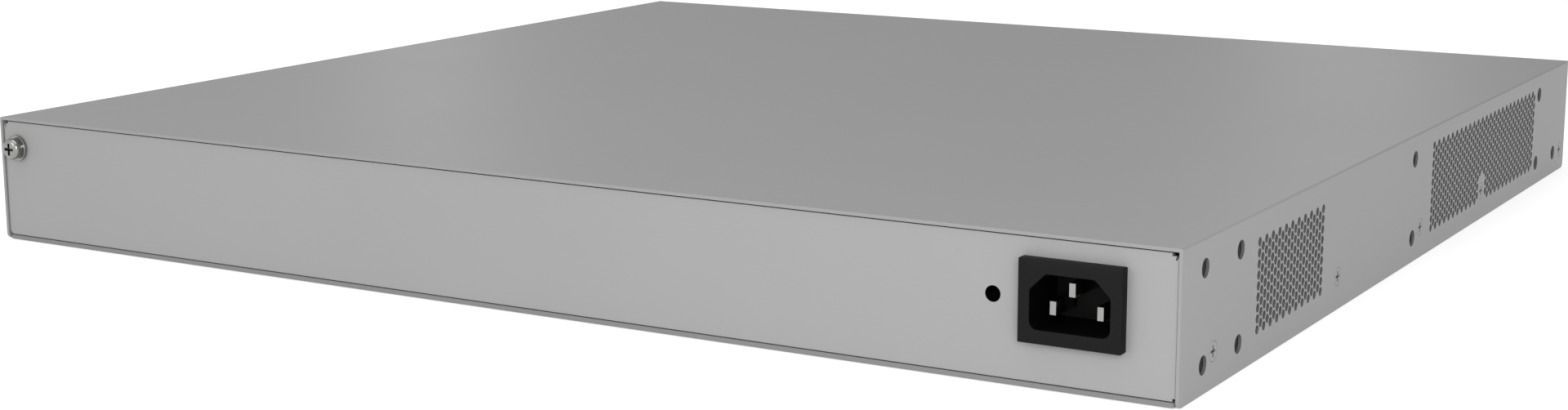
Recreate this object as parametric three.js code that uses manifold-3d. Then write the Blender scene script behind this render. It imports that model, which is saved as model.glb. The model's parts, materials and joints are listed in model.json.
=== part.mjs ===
// A rack-mounted network switch, one rack unit high, as an assembly of separate pieces.
// Millimetres, +Z up. The port face looks towards -Y and the mains inlet towards +Y.
import * as THREE from "three";
import { mergeVertices } from "three/addons/utils/BufferGeometryUtils.js";
import Module from "manifold-3d";

const wasm = await Module();
wasm.setup();

// ---------------------------------------------------------------- driving dimensions

const WIDTH = 442;
const DEPTH = 420;
const HEIGHT = 43.6;
const REAR_OVERHANG = 3.8; // the earth screw's head stands this far behind the case
const FRONT_OVERHANG = 0.6; // the mode button stands this far in front of it

const COVER_SHEET = 1.0;
const BASE_SHEET = 1.5;
const PANEL_SHEET = 1.2;
const GAP = 0.3; // clearance between pieces that touch
const COVER_BEND = 1.3; // outer radius of the cover's long bends
const CORNER = 2; // rounding of the side walls' lower corners

const HALF_WIDTH = WIDTH / 2;
const REAR = DEPTH / 2;
const FRONT = -DEPTH / 2;
const COVER_INSIDE = HALF_WIDTH - COVER_SHEET;
const TRAY_SIDE = COVER_INSIDE - GAP;
const PANEL_TOP = HEIGHT - COVER_SHEET - GAP;
const PANEL_BOTTOM = BASE_SHEET + GAP;
const REAR_PANEL_FACE = REAR - 0.6; // the rear panel sits a little inside the cover's edge
const FLANGE_TOP = 40.5; // height of the tray's upturned sides

// Side walls, as (y, z) places: holes for the rack brackets and the cover's own screws.
const BRACKET_SQUARE = 27;
const REAR_BRACKET = [179.6, 21.8];
const FRONT_BRACKET = [-178.3, 22];
const MIDDLE_BRACKET = [0.6, 21.85];
const BRACKET_HOLE = 2.8; // radius in the cover
const BRACKET_THREAD = 1.7; // radius in the tray behind it
const COVER_SCREWS = [[185.5, 10.6], [79.2, 10.6], [-8.4, 10.6], [-84.5, 10.6], [-202.3, 8.3]];

// Vents in the side walls, as the (y, z) windows that the tray leaves open behind them.
const REAR_VENT = { y: [93, 154], z: [7, 37] };
const FRONT_VENT = { y: [-159, -18.5], z: [6, 38.9] };
const VENT_TAB = { y: [-89.5, -79.5], z: [1, 16.5] }; // carries the cover screw in the vent

// Mains inlet.
const INLET = { x: -190.15, z: 25.2, width: 30.5, height: 23.6, proud: 3.4 };
const SOCKET = { width: 24, height: 16, chamfer: 4.7, radius: 2.5, depth: 18 };
const INLET_BODY = { width: 27.4, height: 20, depth: 19 };
const PIN = { width: 2, height: 4, spacing: 14, lift: 3.9, drop: 2.5, tail: 182 };
const POWER_PIN_TIP = 207.8;
const EARTH_PIN_TIP = 210.9;

// Other rear details.
const STRAP_HOLE = { x: -165.8, z: 25.1, radius: 2.25 };
const EARTH = { x: 213.3, z: 33.1, washer: 4.5, thickness: 1, head: 3.8, shank: 1.9, length: 10 };

// Circuit boards and their standoffs.
const STANDOFF_HEIGHT = 6;
const BOARD = 1.6;
const BOARD_BOTTOM = BASE_SHEET + STANDOFF_HEIGHT + GAP;
const BOARD_TOP = BOARD_BOTTOM + BOARD;
const SEAT = BOARD_TOP + GAP; // where parts on a board start
const MAIN_BOARD = { x: [-200, 172], y: [-206, -40] };
const POWER_BOARD = { x: [-206, -100], y: [22, 176] };
const BOARD_SCREWS = [[-190, -172], [164, -172], [-190, -48], [164, -48]];
const POWER_STANDOFFS = [[-198, 30], [-108, 30], [-198, 168], [-108, 168]];

// Chips and the heat sink on the main board, each at its middle (x, y).
const SWITCH_CHIP = { at: [-10, -115], size: [35, 35, 2.4] };
const SWITCH_SINK = { width: 62, length: 70, base: 3, height: 22, fins: 11, fin: 1.4 };
const OTHER_CHIPS = {
  port_chip_left: { at: [-133, -155], size: [20, 20, 1.6] },
  port_chip_right: { at: [80, -140], size: [20, 20, 1.6] },
  processor_chip: { at: [80, -85], size: [23, 23, 2.2] },
  memory_chip: { at: [108, -85], size: [10, 13, 1.2] },
};

// Parts on the power board, each at its middle (x, y).
const TRANSFORMER = { at: [-145, 52], core: [38, 16, 28], winding: [30, 36], windingZ: [3, 25] };
const CAPACITOR = { places: [[-165, 92], [-165, 120]], radius: 12.5, height: 30 };
const POWER_SINK = { width: 14, length: 70, base: 3, height: 26, fins: 4, fin: 1.6 };
const POWER_SINK_PLACES = [[-194, 90], [-113, 90]];
const BOOST_CHOKE = { at: [-136, 128], outer: 15, inner: 6, height: 14 };
const FILTER_CHOKE = { at: [-148, 160], size: [24, 18, 20], window: 12 };
const LEAD = { radius: 1.2, foot: 171, earthFoot: 166 }; // where each lead meets the board, as y
const HARNESS = { x: -130, radius: 3, plugWidth: 18, plugHeight: 9, plugs: [[17.5, 24], [-56, -49.5]] };

// Ports along the front.
const PORT_FACE = FRONT - 0.4;
const PORT = { pitch: 14, width: 11.9, height: 7.6, key: 6.4, keyHeight: 2, depth: 14 };
const PORT_EDGE = 1.3; // shell beside the outer ports
const BLOCK = { columns: 6, rows: 2, height: 25.6, depth: 30 };
const BLOCK_CENTRES = [-133, -43];
const JACK = { columns: 1, rows: 1, height: 13, depth: 21 };
const JACK_CENTRES = { console_jack: 104, management_jack: 124 };
const CAGE = { width: 14.4, height: 9.8, depth: 48, wall: 0.4, first: 24, pitch: 15, count: 4 };

// Buttons and light guides.
const MODE = { x: 148, radius: 2.5, collar: 3.8 };
const RESET = { x: 160, radius: 1, collar: 2 };
const BUTTON_Z = 14;
const BUTTON_END = -202; // inner end of each button's stem
const SWITCH = { width: 6.6, height: 7.6, y: [-200.8, -196] };
const PIN_HOLE = 1.5; // radius of the hole in front of the reset button
const LIGHTS = { first: 142, pitch: 6, count: 5, z: 27, radius: 1.2, y: [-204, -200] };

// Fans on the right-hand wall.
const FAN = { size: 40, length: 28, bore: 18.7, screwReach: 16, screwHole: 2.1, motorPlate: 3 };
const ROTOR = { tip: 18.1, hub: 10, cupFront: -9, blades: 7, chord: 17, thickness: 1.1 };
const FAN_CENTRES = [-62, -112];
const FAN_OUTER = TRAY_SIDE - PANEL_SHEET - GAP;

// ---------------------------------------------------------------- geometry helpers

// How an outline's own two directions and its depth lie along X, Y and Z.
const BASES = {
  x: [[0, 1, 0], [0, 0, 1], [1, 0, 0]],
  y: [[1, 0, 0], [0, 0, 1], [0, -1, 0]],
  z: [[1, 0, 0], [0, 1, 0], [0, 0, 1]],
};

function solid(geometry) {
  geometry.deleteAttribute("normal");
  geometry.deleteAttribute("uv");
  const merged = mergeVertices(geometry, 1e-4);
  const index = merged.index.array;
  const triangles = [];
  for (let i = 0; i < index.length; i += 3) {
    const [a, b, c] = index.subarray(i, i + 3);
    if (a !== b && b !== c && c !== a) {
      triangles.push(a, b, c);
    }
  }
  return new wasm.Manifold(new wasm.Mesh({
    numProp: 3,
    vertProperties: new Float32Array(merged.attributes.position.array),
    triVerts: new Uint32Array(triangles),
  }));
}

function surface(manifold) {
  const mesh = manifold.getMesh();
  const geometry = new THREE.BufferGeometry();
  geometry.setAttribute("position", new THREE.BufferAttribute(mesh.vertProperties, 3));
  geometry.setIndex(new THREE.BufferAttribute(mesh.triVerts, 1));
  geometry.computeVertexNormals();
  return geometry;
}

function box([x0, x1], [y0, y1], [z0, z1]) {
  const geometry = new THREE.BoxGeometry(x1 - x0, y1 - y0, z1 - z0);
  geometry.translate((x0 + x1) / 2, (y0 + y1) / 2, (z0 + z1) / 2);
  return solid(geometry);
}

// The span of a length about its middle.
function about(middle, length) {
  return [middle - length / 2, middle + length / 2];
}

function arc(u, v, radius, start, end, steps) {
  return Array.from({ length: steps + 1 }, (_, i) => {
    const angle = THREE.MathUtils.degToRad(start + (end - start) * i / steps);
    return [u + radius * Math.cos(angle), v + radius * Math.sin(angle)];
  });
}

function circle(u, v, radius, sides) {
  return arc(u, v, radius, 0, 360, sides).slice(0, sides);
}

// An outline pushed along an axis: (y, z) along x, (x, z) along y, (x, y) along z.
function prism(outline, axis, [from, to]) {
  const shape = new THREE.Shape(outline.map(([u, v]) => new THREE.Vector2(u, v)));
  const geometry = new THREE.ExtrudeGeometry(shape, { depth: to - from, bevelEnabled: false });
  const [across, up, along] = BASES[axis].map((direction) => new THREE.Vector3(...direction));
  const start = axis === "y" ? -to : from; // an outline along Y is pushed towards -Y
  const matrix = new THREE.Matrix4().makeBasis(across, up, along);
  matrix.setPosition(along.clone().multiplyScalar(start));
  geometry.applyMatrix4(matrix);
  return solid(geometry);
}

function rod(axis, [u, v], radius, span, sides = 12) {
  return prism(circle(u, v, radius, sides), axis, span);
}

// A turned piece about local Z from its (radius, height) profile.
function turned(profile, sides) {
  const geometry = new THREE.LatheGeometry(profile.map(([r, z]) => new THREE.Vector2(r, z)), sides);
  geometry.rotateX(Math.PI / 2);
  return solid(geometry);
}

function joined(pieces) {
  return pieces.reduce((sum, piece) => sum.add(piece));
}

function cut(piece, cutters) {
  return cutters.reduce((rest, cutter) => rest.subtract(cutter), piece);
}

// A cross recess cut down from the top of a screw's head.
function crossRecess(span, width, top, depth) {
  const long = about(0, span);
  const narrow = about(0, width);
  return box(long, narrow, [top - depth, top + 1]).add(box(narrow, long, [top - depth, top + 1]));
}

// ---------------------------------------------------------------- finishes

const FINISHES = {
  grey_paint: { color: 0xa3a3a3, roughness: 0.5, metalness: 0.1 },
  bare_steel: { color: 0xb8b8b6, roughness: 0.35, metalness: 0.9 },
  black_plastic: { color: 0x161616, roughness: 0.45, metalness: 0 },
  pin_metal: { color: 0xbdbdb8, roughness: 0.3, metalness: 0.9 },
  green_board: { color: 0x1d4a2c, roughness: 0.5, metalness: 0 },
  chip_resin: { color: 0x1c1c1e, roughness: 0.6, metalness: 0 },
  aluminium: { color: 0x9a9c9e, roughness: 0.4, metalness: 0.9 },
  clear_plastic: { color: 0xdfe6e2, roughness: 0.2, metalness: 0 },
  ferrite: { color: 0x3a3a3c, roughness: 0.7, metalness: 0 },
  capacitor_sleeve: { color: 0x15202e, roughness: 0.4, metalness: 0 },
  brown_wire: { color: 0x4c2c1a, roughness: 0.5, metalness: 0 },
  blue_wire: { color: 0x1d4f9a, roughness: 0.5, metalness: 0 },
  earth_wire: { color: 0x5f8f22, roughness: 0.5, metalness: 0 },
};

const chassis = new THREE.Group();

function place(name, piece, finish, position = [0, 0, 0], rotation = [0, 0, 0], parent = chassis) {
  const geometry = piece.isBufferGeometry ? piece : surface(piece);
  const mesh = new THREE.Mesh(geometry, new THREE.MeshStandardMaterial(FINISHES[finish]));
  mesh.name = name;
  mesh.position.set(...position);
  mesh.rotation.set(...rotation);
  parent.add(mesh);
}

// ---------------------------------------------------------------- casing

function squareOf([y, z]) {
  const reach = BRACKET_SQUARE / 2;
  return [[y + reach, z - reach], [y - reach, z - reach], [y + reach, z + reach], [y - reach, z + reach]];
}

// The front bracket uses three corners of its square, and the middle one a single column.
function bracketHoles() {
  const reach = BRACKET_SQUARE / 2;
  const [middleY, middleZ] = MIDDLE_BRACKET;
  const missing = 3;
  return [
    ...squareOf(REAR_BRACKET),
    ...squareOf(FRONT_BRACKET).filter((_, i) => i !== missing),
    [middleY, middleZ - reach],
    [middleY, middleZ + reach],
  ];
}

const SCREW_HEAD = 3;
const SCREW_NECK = 2;
const SCREW_SHANK = 1.4;
const SCREW_LENGTH = 6;

// A hole through both side walls at once.
function throughSides([y, z], radius) {
  return rod("x", [y, z], radius, [-HALF_WIDTH - 1, HALF_WIDTH + 1]);
}

// The tapered seat of a flush screw head in the cover's wall on one side.
function countersink([y, z], side) {
  const slope = (SCREW_HEAD - SCREW_NECK) / COVER_SHEET;
  const overshoot = 0.5;
  const outer = SCREW_HEAD + GAP + slope * overshoot;
  const inner = SCREW_NECK + GAP - slope * overshoot;
  const length = COVER_SHEET + 2 * overshoot;
  const geometry = new THREE.CylinderGeometry(outer, inner, length, 12);
  geometry.rotateZ(-side * Math.PI / 2);
  geometry.translate(side * (HALF_WIDTH - COVER_SHEET / 2), y, z);
  return solid(geometry);
}

function topCover() {
  const bendX = HALF_WIDTH - COVER_BEND;
  const bendZ = HEIGHT - COVER_BEND;
  const underside = HEIGHT - COVER_SHEET;
  const section = [
    [HALF_WIDTH, 0],
    ...arc(bendX, bendZ, COVER_BEND, 0, 90, 4),
    ...arc(-bendX, bendZ, COVER_BEND, 90, 180, 4),
    [-HALF_WIDTH, 0],
    [-COVER_INSIDE, 0],
    [-COVER_INSIDE, underside],
    [COVER_INSIDE, underside],
    [COVER_INSIDE, 0],
  ];
  const sideView = [
    ...arc(FRONT + CORNER, CORNER, CORNER, 180, 270, 4),
    ...arc(REAR - CORNER, CORNER, CORNER, 270, 360, 4),
    [REAR, HEIGHT + 1],
    [FRONT, HEIGHT + 1],
  ];
  const bent = prism(section, "y", [FRONT, REAR]);
  const rounded = bent.intersect(prism(sideView, "x", [-HALF_WIDTH - 1, HALF_WIDTH + 1]));
  return cut(rounded, [
    ...bracketHoles().map((hole) => throughSides(hole, BRACKET_HOLE)),
    ...COVER_SCREWS.flatMap((hole) => [countersink(hole, -1), countersink(hole, 1)]),
  ]);
}

function baseTray() {
  const flangeY = [-206, 203];
  const floor = box([-TRAY_SIDE, TRAY_SIDE], [FRONT, REAR - 0.2], [0, BASE_SHEET]);
  const sides = [-1, 1].map((side) => {
    const inner = TRAY_SIDE - PANEL_SHEET;
    const span = side < 0 ? [-TRAY_SIDE, -inner] : [inner, TRAY_SIDE];
    const across = [-HALF_WIDTH, HALF_WIDTH];
    const windows = [REAR_VENT, FRONT_VENT].map(({ y, z }) => box(across, y, z));
    return cut(box(span, flangeY, [0.5, FLANGE_TOP]), windows).add(box(span, VENT_TAB.y, VENT_TAB.z));
  });
  const standoffs = [...BOARD_SCREWS, ...POWER_STANDOFFS].map((place) =>
    rod("z", place, 3, [BASE_SHEET - 0.5, BASE_SHEET + STANDOFF_HEIGHT]));
  return cut(joined([floor, ...sides, ...standoffs]), [
    ...bracketHoles().map((hole) => throughSides(hole, BRACKET_THREAD)),
    ...COVER_SCREWS.map((hole) => throughSides(hole, SCREW_SHANK + GAP)),
    ...BOARD_SCREWS.map((place) => rod("z", place, 1.6, [BASE_SHEET, BOARD_TOP], 8)),
  ]);
}

// A flat end panel with a return flange inside each end.
function endPanel([y0, y1], returnY) {
  const plate = box([-TRAY_SIDE, TRAY_SIDE], [y0, y1], [PANEL_BOTTOM, PANEL_TOP]);
  const outer = TRAY_SIDE - PANEL_SHEET - GAP;
  const returnZ = [PANEL_BOTTOM + 2, FLANGE_TOP];
  const returns = [[-outer, PANEL_SHEET - outer], [outer - PANEL_SHEET, outer]];
  return joined([plate, ...returns.map((span) => box(span, returnY, returnZ))]);
}

function rearPanel() {
  const span = [REAR_PANEL_FACE - PANEL_SHEET, REAR_PANEL_FACE];
  const panel = endPanel(span, [REAR_PANEL_FACE - 14, REAR_PANEL_FACE - 0.5]);
  const through = [span[0] - 1, span[1] + 1];
  const relief = 0.8; // corner reliefs where the sheet is bent
  const topCorners = [-1, 1].map((side) =>
    box(about(side * TRAY_SIDE, 2 * relief + 1), through, [PANEL_TOP - relief / 2, PANEL_TOP + 1]));
  const opening = INLET_BODY.width + 2 * GAP;
  const openingHeight = INLET_BODY.height + 2 * GAP;
  return cut(panel, [
    ...topCorners,
    box(about(-TRAY_SIDE, 2 * relief), through, [0, PANEL_BOTTOM + relief]),
    box(about(INLET.x, opening), through, about(INLET.z, openingHeight)),
    rod("y", [STRAP_HOLE.x, STRAP_HOLE.z], STRAP_HOLE.radius, through, 20),
    rod("y", [EARTH.x, EARTH.z], EARTH.shank + GAP, [through[0] - 14, through[1]]),
  ]);
}

function blockWidth({ columns }) {
  return columns * PORT.pitch + 2 * PORT_EDGE;
}

function frontPanel() {
  const span = [FRONT, FRONT + PANEL_SHEET];
  const through = [FRONT - 1, span[1] + 1];
  const panel = endPanel(span, [span[1] - 0.5, FRONT + 14]);
  const around = (x, width, height) =>
    box(about(x, width + 2 * GAP), through, [SEAT - GAP, SEAT + height + GAP]);
  const cages = CAGE.pitch * (CAGE.count - 1) + CAGE.width;
  const cageCentre = CAGE.first + CAGE.pitch * (CAGE.count - 1) / 2;
  return cut(panel, [
    ...BLOCK_CENTRES.map((x) => around(x, blockWidth(BLOCK), BLOCK.height)),
    ...Object.values(JACK_CENTRES).map((x) => around(x, blockWidth(JACK), JACK.height)),
    around(cageCentre, cages, CAGE.height),
    rod("y", [MODE.x, BUTTON_Z], MODE.radius + GAP, through, 16),
    rod("y", [RESET.x, BUTTON_Z], PIN_HOLE, through),
    ...lightPlaces().map((x) => rod("y", [x, LIGHTS.z], LIGHTS.radius + GAP, through)),
    ...COVER_SCREWS.map((hole) => throughSides(hole, SCREW_SHANK + GAP)),
  ]);
}

// A flush screw with its head at z = 0, looking along +Z.
function coverScrew() {
  const body = turned([
    [0, -SCREW_LENGTH],
    [SCREW_SHANK, -SCREW_LENGTH],
    [SCREW_SHANK, -COVER_SHEET],
    [SCREW_NECK, -COVER_SHEET],
    [SCREW_HEAD, 0],
    [0, 0],
  ], 12);
  return body.subtract(crossRecess(3.4, 0.8, 0, 0.7));
}

function addCasing() {
  place("top_cover", topCover(), "grey_paint");
  place("base_tray", baseTray(), "grey_paint");
  place("rear_panel", rearPanel(), "grey_paint");
  place("front_panel", frontPanel(), "grey_paint");
  const screw = surface(coverScrew());
  COVER_SCREWS.forEach(([y, z], i) => {
    place(`cover_screw_left_${i + 1}`, screw, "grey_paint", [-HALF_WIDTH, y, z], [0, -Math.PI / 2, 0]);
    place(`cover_screw_right_${i + 1}`, screw, "grey_paint", [HALF_WIDTH, y, z], [0, Math.PI / 2, 0]);
  });
}

// ---------------------------------------------------------------- earth terminal and mains inlet

function addEarthTerminal() {
  const { x, z, washer, thickness, head, shank, length } = EARTH;
  const facingRear = [-Math.PI / 2, 0, 0];
  const hole = shank + GAP;
  const ring = turned([
    [hole, 0],
    [washer, 0],
    [washer, thickness],
    [hole, thickness],
    [hole, 0],
  ], 24);
  const seat = REAR_PANEL_FACE + GAP;
  place("earth_washer", ring, "bare_steel", [x, seat, z], facingRear);

  const headSeat = seat + thickness + GAP;
  const headHeight = REAR + REAR_OVERHANG - headSeat;
  const screw = turned([
    [0, -length],
    [shank, -length],
    [shank, 0],
    [head, 0],
    [head, headHeight * 0.5],
    [head * 0.93, headHeight * 0.8],
    [head * 0.7, headHeight],
    [0, headHeight],
  ], 20).subtract(crossRecess(3.8, 1, headHeight, 1.6));
  place("earth_screw", screw, "bare_steel", [x, headSeat, z], facingRear);
}

// The socket's outline has two cut upper corners and two rounded lower ones.
function socketOutline() {
  const right = SOCKET.width / 2;
  const top = SOCKET.height / 2;
  const { chamfer, radius } = SOCKET;
  return [
    ...arc(-right + radius, -top + radius, radius, 180, 270, 4),
    ...arc(right - radius, -top + radius, radius, 270, 360, 4),
    [right, top - chamfer],
    [right - chamfer, top],
    [-right + chamfer, top],
    [-right, top - chamfer],
  ];
}

function inletPinPlaces() {
  return {
    inlet_pin_line: { x: -PIN.spacing / 2, z: -PIN.drop, tip: POWER_PIN_TIP },
    inlet_pin_neutral: { x: PIN.spacing / 2, z: -PIN.drop, tip: POWER_PIN_TIP },
    inlet_pin_earth: { x: 0, z: PIN.lift, tip: EARTH_PIN_TIP },
  };
}

function addInlet() {
  const inlet = new THREE.Group();
  inlet.position.set(INLET.x, 0, INLET.z);
  chassis.add(inlet);

  const flangeBack = REAR_PANEL_FACE + GAP;
  const face = REAR_PANEL_FACE + INLET.proud;
  const bodyEnd = flangeBack - INLET_BODY.depth;
  const flange = box(about(0, INLET.width), [flangeBack, face], about(0, INLET.height));
  const body = box(about(0, INLET_BODY.width), [bodyEnd, flangeBack + 0.5], about(0, INLET_BODY.height));
  const pins = Object.entries(inletPinPlaces());
  const slots = pins.map(([, pin]) => box(
    about(pin.x, PIN.width + 2 * GAP),
    [bodyEnd - 1, face],
    about(pin.z, PIN.height + 2 * GAP),
  ));
  const cavity = prism(socketOutline(), "y", [face - SOCKET.depth, face + 1]);
  place("inlet_housing", cut(flange.add(body), [cavity, ...slots]), "black_plastic",
    [0, 0, 0], [0, 0, 0], inlet);

  for (const [name, pin] of pins) {
    const length = pin.tip - PIN.tail;
    const blade = surface(box(about(0, PIN.width), about(0, length), about(0, PIN.height)));
    place(name, blade, "pin_metal", [pin.x, PIN.tail + length / 2, pin.z], [0, 0, 0], inlet);
  }
}

// ---------------------------------------------------------------- front ports, buttons and lights

// A block of modular jacks with its face at y = 0 and its foot at z = 0. The lower row has its
// latch keys below and the upper row has them above.
function jackBlock(block) {
  const { columns, rows, height, depth } = block;
  const margin = (height / rows - PORT.height - PORT.keyHeight) / 2;
  const shell = box(about(0, blockWidth(block)), [0, depth], [0, height]);
  const cavities = [];
  for (let column = 0; column < columns; column += 1) {
    const x = (column - (columns - 1) / 2) * PORT.pitch;
    for (let row = 0; row < rows; row += 1) {
      const keyAbove = row > 0;
      const low = margin + (keyAbove ? row * height / rows : PORT.keyHeight);
      const high = low + PORT.height;
      const key = keyAbove ? [high - 0.5, high + PORT.keyHeight] : [low - PORT.keyHeight, low + 0.5];
      cavities.push(box(about(x, PORT.width), [-1, PORT.depth], [low, high]));
      cavities.push(box(about(x, PORT.key), [-1, PORT.depth], key));
    }
  }
  return cut(shell, cavities);
}

function sfpCage() {
  const { width, height, depth, wall } = CAGE;
  const inside = box(about(0, width - 2 * wall), [-1, depth - wall], [wall, height - wall]);
  return box(about(0, width), [0, depth], [0, height]).subtract(inside);
}

function addPorts() {
  const block = surface(jackBlock(BLOCK));
  place("port_block_left", block, "bare_steel", [BLOCK_CENTRES[0], PORT_FACE, SEAT]);
  place("port_block_right", block, "bare_steel", [BLOCK_CENTRES[1], PORT_FACE, SEAT]);
  const jack = surface(jackBlock(JACK));
  for (const [name, x] of Object.entries(JACK_CENTRES)) {
    place(name, jack, "bare_steel", [x, PORT_FACE, SEAT]);
  }
  const cage = surface(sfpCage());
  for (let i = 0; i < CAGE.count; i += 1) {
    place(`sfp_cage_${i + 1}`, cage, "bare_steel", [CAGE.first + i * CAGE.pitch, PORT_FACE, SEAT]);
  }
}

// A push button about local Z: its face at z = 0, a collar behind the panel and a stem.
function pushButton({ radius, collar }, face) {
  const collarFront = FRONT + PANEL_SHEET + GAP;
  const stem = Math.min(radius, 1.4);
  return turned([
    [0, BUTTON_END - face],
    [stem, BUTTON_END - face],
    [stem, collarFront + 1 - face],
    [collar, collarFront + 1 - face],
    [collar, collarFront - face],
    [radius, collarFront - face],
    [radius, 0.3],
    [radius - 0.3, 0],
    [0, 0],
  ].map(([r, inward]) => [r, -inward]), 16);
}

function lightPlaces() {
  return Array.from({ length: LIGHTS.count }, (_, i) => LIGHTS.first + i * LIGHTS.pitch);
}

// One moulding guides the board's lights up and forwards to the panel.
function lightGuide() {
  const { radius, z, y } = LIGHTS;
  const top = z + radius + 0.4;
  const places = lightPlaces();
  const columns = places.map((x) => box(about(x, 2.4), y, [SEAT + 9, top]));
  const tips = places.map((x) => rod("y", [x, z], radius, [FRONT - 0.2, y[0] + 1]));
  const ends = [places[0] - 1.2, places[places.length - 1] + 1.2];
  const bar = box(ends, [y[0] + 0.8, y[1] - 0.8], [SEAT + 12, SEAT + 14.4]);
  const legX = [ends[0] - 4, ends[1] + 4];
  const crossbar = box(legX, [y[0] + 1, y[1] - 1], [SEAT + 12.4, SEAT + 14]);
  const legs = legX.map((x) => box(about(x, 2), [y[0] + 1, y[1] - 1], [SEAT, SEAT + 14]));
  return joined([...columns, ...tips, bar, crossbar, ...legs]);
}

function addButtonsAndLights() {
  const facingFront = [Math.PI / 2, 0, 0];
  const modeFace = FRONT - FRONT_OVERHANG;
  const resetFace = FRONT + 0.7;
  const mode = pushButton(MODE, modeFace);
  const reset = pushButton(RESET, resetFace);
  place("mode_button", mode, "black_plastic", [MODE.x, modeFace, BUTTON_Z], facingFront);
  place("reset_button", reset, "black_plastic", [RESET.x, resetFace, BUTTON_Z], facingFront);
  const body = surface(box(about(0, SWITCH.width), SWITCH.y, [0, SWITCH.height]));
  place("mode_switch", body, "black_plastic", [MODE.x, 0, SEAT]);
  place("reset_switch", body, "black_plastic", [RESET.x, 0, SEAT]);
  place("light_guide", lightGuide(), "clear_plastic");
}

// ---------------------------------------------------------------- main board

// A finned heat sink, its fins standing along Y, with its base at z = 0.
function heatSink({ width, length, base, height, fins, fin }) {
  const pitch = (width - fin) / (fins - 1);
  const plate = box(about(0, width), about(0, length), [0, base]);
  const blades = Array.from({ length: fins }, (_, i) =>
    box(about(pitch * i - (width - fin) / 2, fin), about(0, length), [base / 2, height]));
  return joined([plate, ...blades]);
}

function chip([width, length, height]) {
  return surface(box(about(0, width), about(0, length), [0, height]));
}

function boardScrew() {
  const head = turned([
    [0, -6],
    [1.3, -6],
    [1.3, 0],
    [2.8, 0],
    [2.8, 1.2],
    [1.8, 2],
    [0, 2],
  ], 12);
  return head.subtract(crossRecess(3.2, 0.8, 2, 0.9));
}

function addMainBoard() {
  const board = box(MAIN_BOARD.x, MAIN_BOARD.y, [BOARD_BOTTOM, BOARD_TOP]);
  const holes = BOARD_SCREWS.map((place) => rod("z", place, 1.7, [BOARD_BOTTOM - 1, BOARD_TOP + 1], 8));
  place("main_board", cut(board, holes), "green_board");
  const screw = surface(boardScrew());
  BOARD_SCREWS.forEach(([x, y], i) => {
    place(`board_screw_${i + 1}`, screw, "bare_steel", [x, y, SEAT]);
  });
  const { at, size } = SWITCH_CHIP;
  place("switch_chip", chip(size), "chip_resin", [...at, SEAT]);
  const sinkSeat = SEAT + size[2] + GAP;
  place("switch_heat_sink", heatSink(SWITCH_SINK), "aluminium", [...at, sinkSeat], [0, 0, Math.PI / 2]);
  for (const [name, other] of Object.entries(OTHER_CHIPS)) {
    place(name, chip(other.size), "chip_resin", [...other.at, SEAT]);
  }
}

// ---------------------------------------------------------------- fans

// A fan frame about local Z with its air leaving towards +Z, centred on its own middle.
function fanFrame() {
  const { size, length, bore, screwReach, screwHole, motorPlate } = FAN;
  const span = [-length / 2, length / 2];
  const through = [span[0] - 1, span[1] + 1];
  const corners = [[-1, -1], [1, -1], [-1, 1], [1, 1]].map(([u, v]) => [u * screwReach, v * screwReach]);
  const frame = cut(box(about(0, size), about(0, size), span), [
    rod("z", [0, 0], bore, through, 32),
    ...corners.map((place) => rod("z", place, screwHole, through, 8)),
  ]);
  const struts = [30, 150, 270].map((degrees) => {
    const strut = new THREE.BoxGeometry(bore + 0.5, 2, 2);
    strut.translate((bore + 0.5) / 2, 0, span[1] - 1.2);
    strut.rotateZ(THREE.MathUtils.degToRad(degrees));
    return solid(strut);
  });
  const motor = rod("z", [0, 0], ROTOR.hub, [span[1] - motorPlate, span[1] - 0.2], 20);
  return joined([frame, ...struts, motor]);
}

// One twisted blade, steeper at the hub than at the tip.
function fanBlade(turn) {
  const { hub, tip, chord, thickness } = ROTOR;
  const root = hub - 1;
  const geometry = new THREE.BoxGeometry(tip - root, thickness, chord, 3, 1, 1);
  geometry.translate((tip + root) / 2, 0, 0);
  const position = geometry.attributes.position;
  for (let i = 0; i < position.count; i += 1) {
    const radius = position.getX(i);
    const y = position.getY(i);
    const z = position.getZ(i);
    const outward = (radius - root) / (tip - root);
    const pitch = THREE.MathUtils.degToRad(42 + 12 * outward);
    const sweep = y * Math.cos(pitch) + z * Math.sin(pitch);
    const angle = sweep / radius + turn;
    position.setXYZ(i, radius * Math.cos(angle), radius * Math.sin(angle),
      -y * Math.sin(pitch) + z * Math.cos(pitch));
  }
  return solid(geometry);
}

function fanRotor() {
  const { hub, cupFront, blades } = ROTOR;
  const cupBack = FAN.length / 2 - FAN.motorPlate - GAP;
  const cup = turned([
    [0, cupFront],
    [hub - 1.5, cupFront],
    [hub, cupFront + 1.5],
    [hub, cupBack],
    [0, cupBack],
  ], 24);
  const ring = Array.from({ length: blades }, (_, i) => fanBlade(2 * Math.PI * i / blades));
  return joined([cup, ...ring]);
}

function addFans() {
  const frame = surface(fanFrame());
  const rotor = surface(fanRotor());
  FAN_CENTRES.forEach((y, i) => {
    const fan = new THREE.Group();
    fan.position.set(FAN_OUTER - FAN.length / 2, y, BASE_SHEET + GAP + FAN.size / 2);
    fan.rotation.y = Math.PI / 2;
    chassis.add(fan);
    place(`fan_frame_${i + 1}`, frame, "black_plastic", [0, 0, 0], [0, 0, 0], fan);
    place(`fan_rotor_${i + 1}`, rotor, "black_plastic", [0, 0, 0], [0, 0, 0], fan);
  });
}

// ---------------------------------------------------------------- power supply

function capacitor({ radius, height }) {
  return turned([
    [0, 0],
    [radius, 0],
    [radius, height - 1.5],
    [radius - 1, height],
    [radius - 2, height - 0.4],
    [0, height - 0.4],
  ], 20);
}

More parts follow.
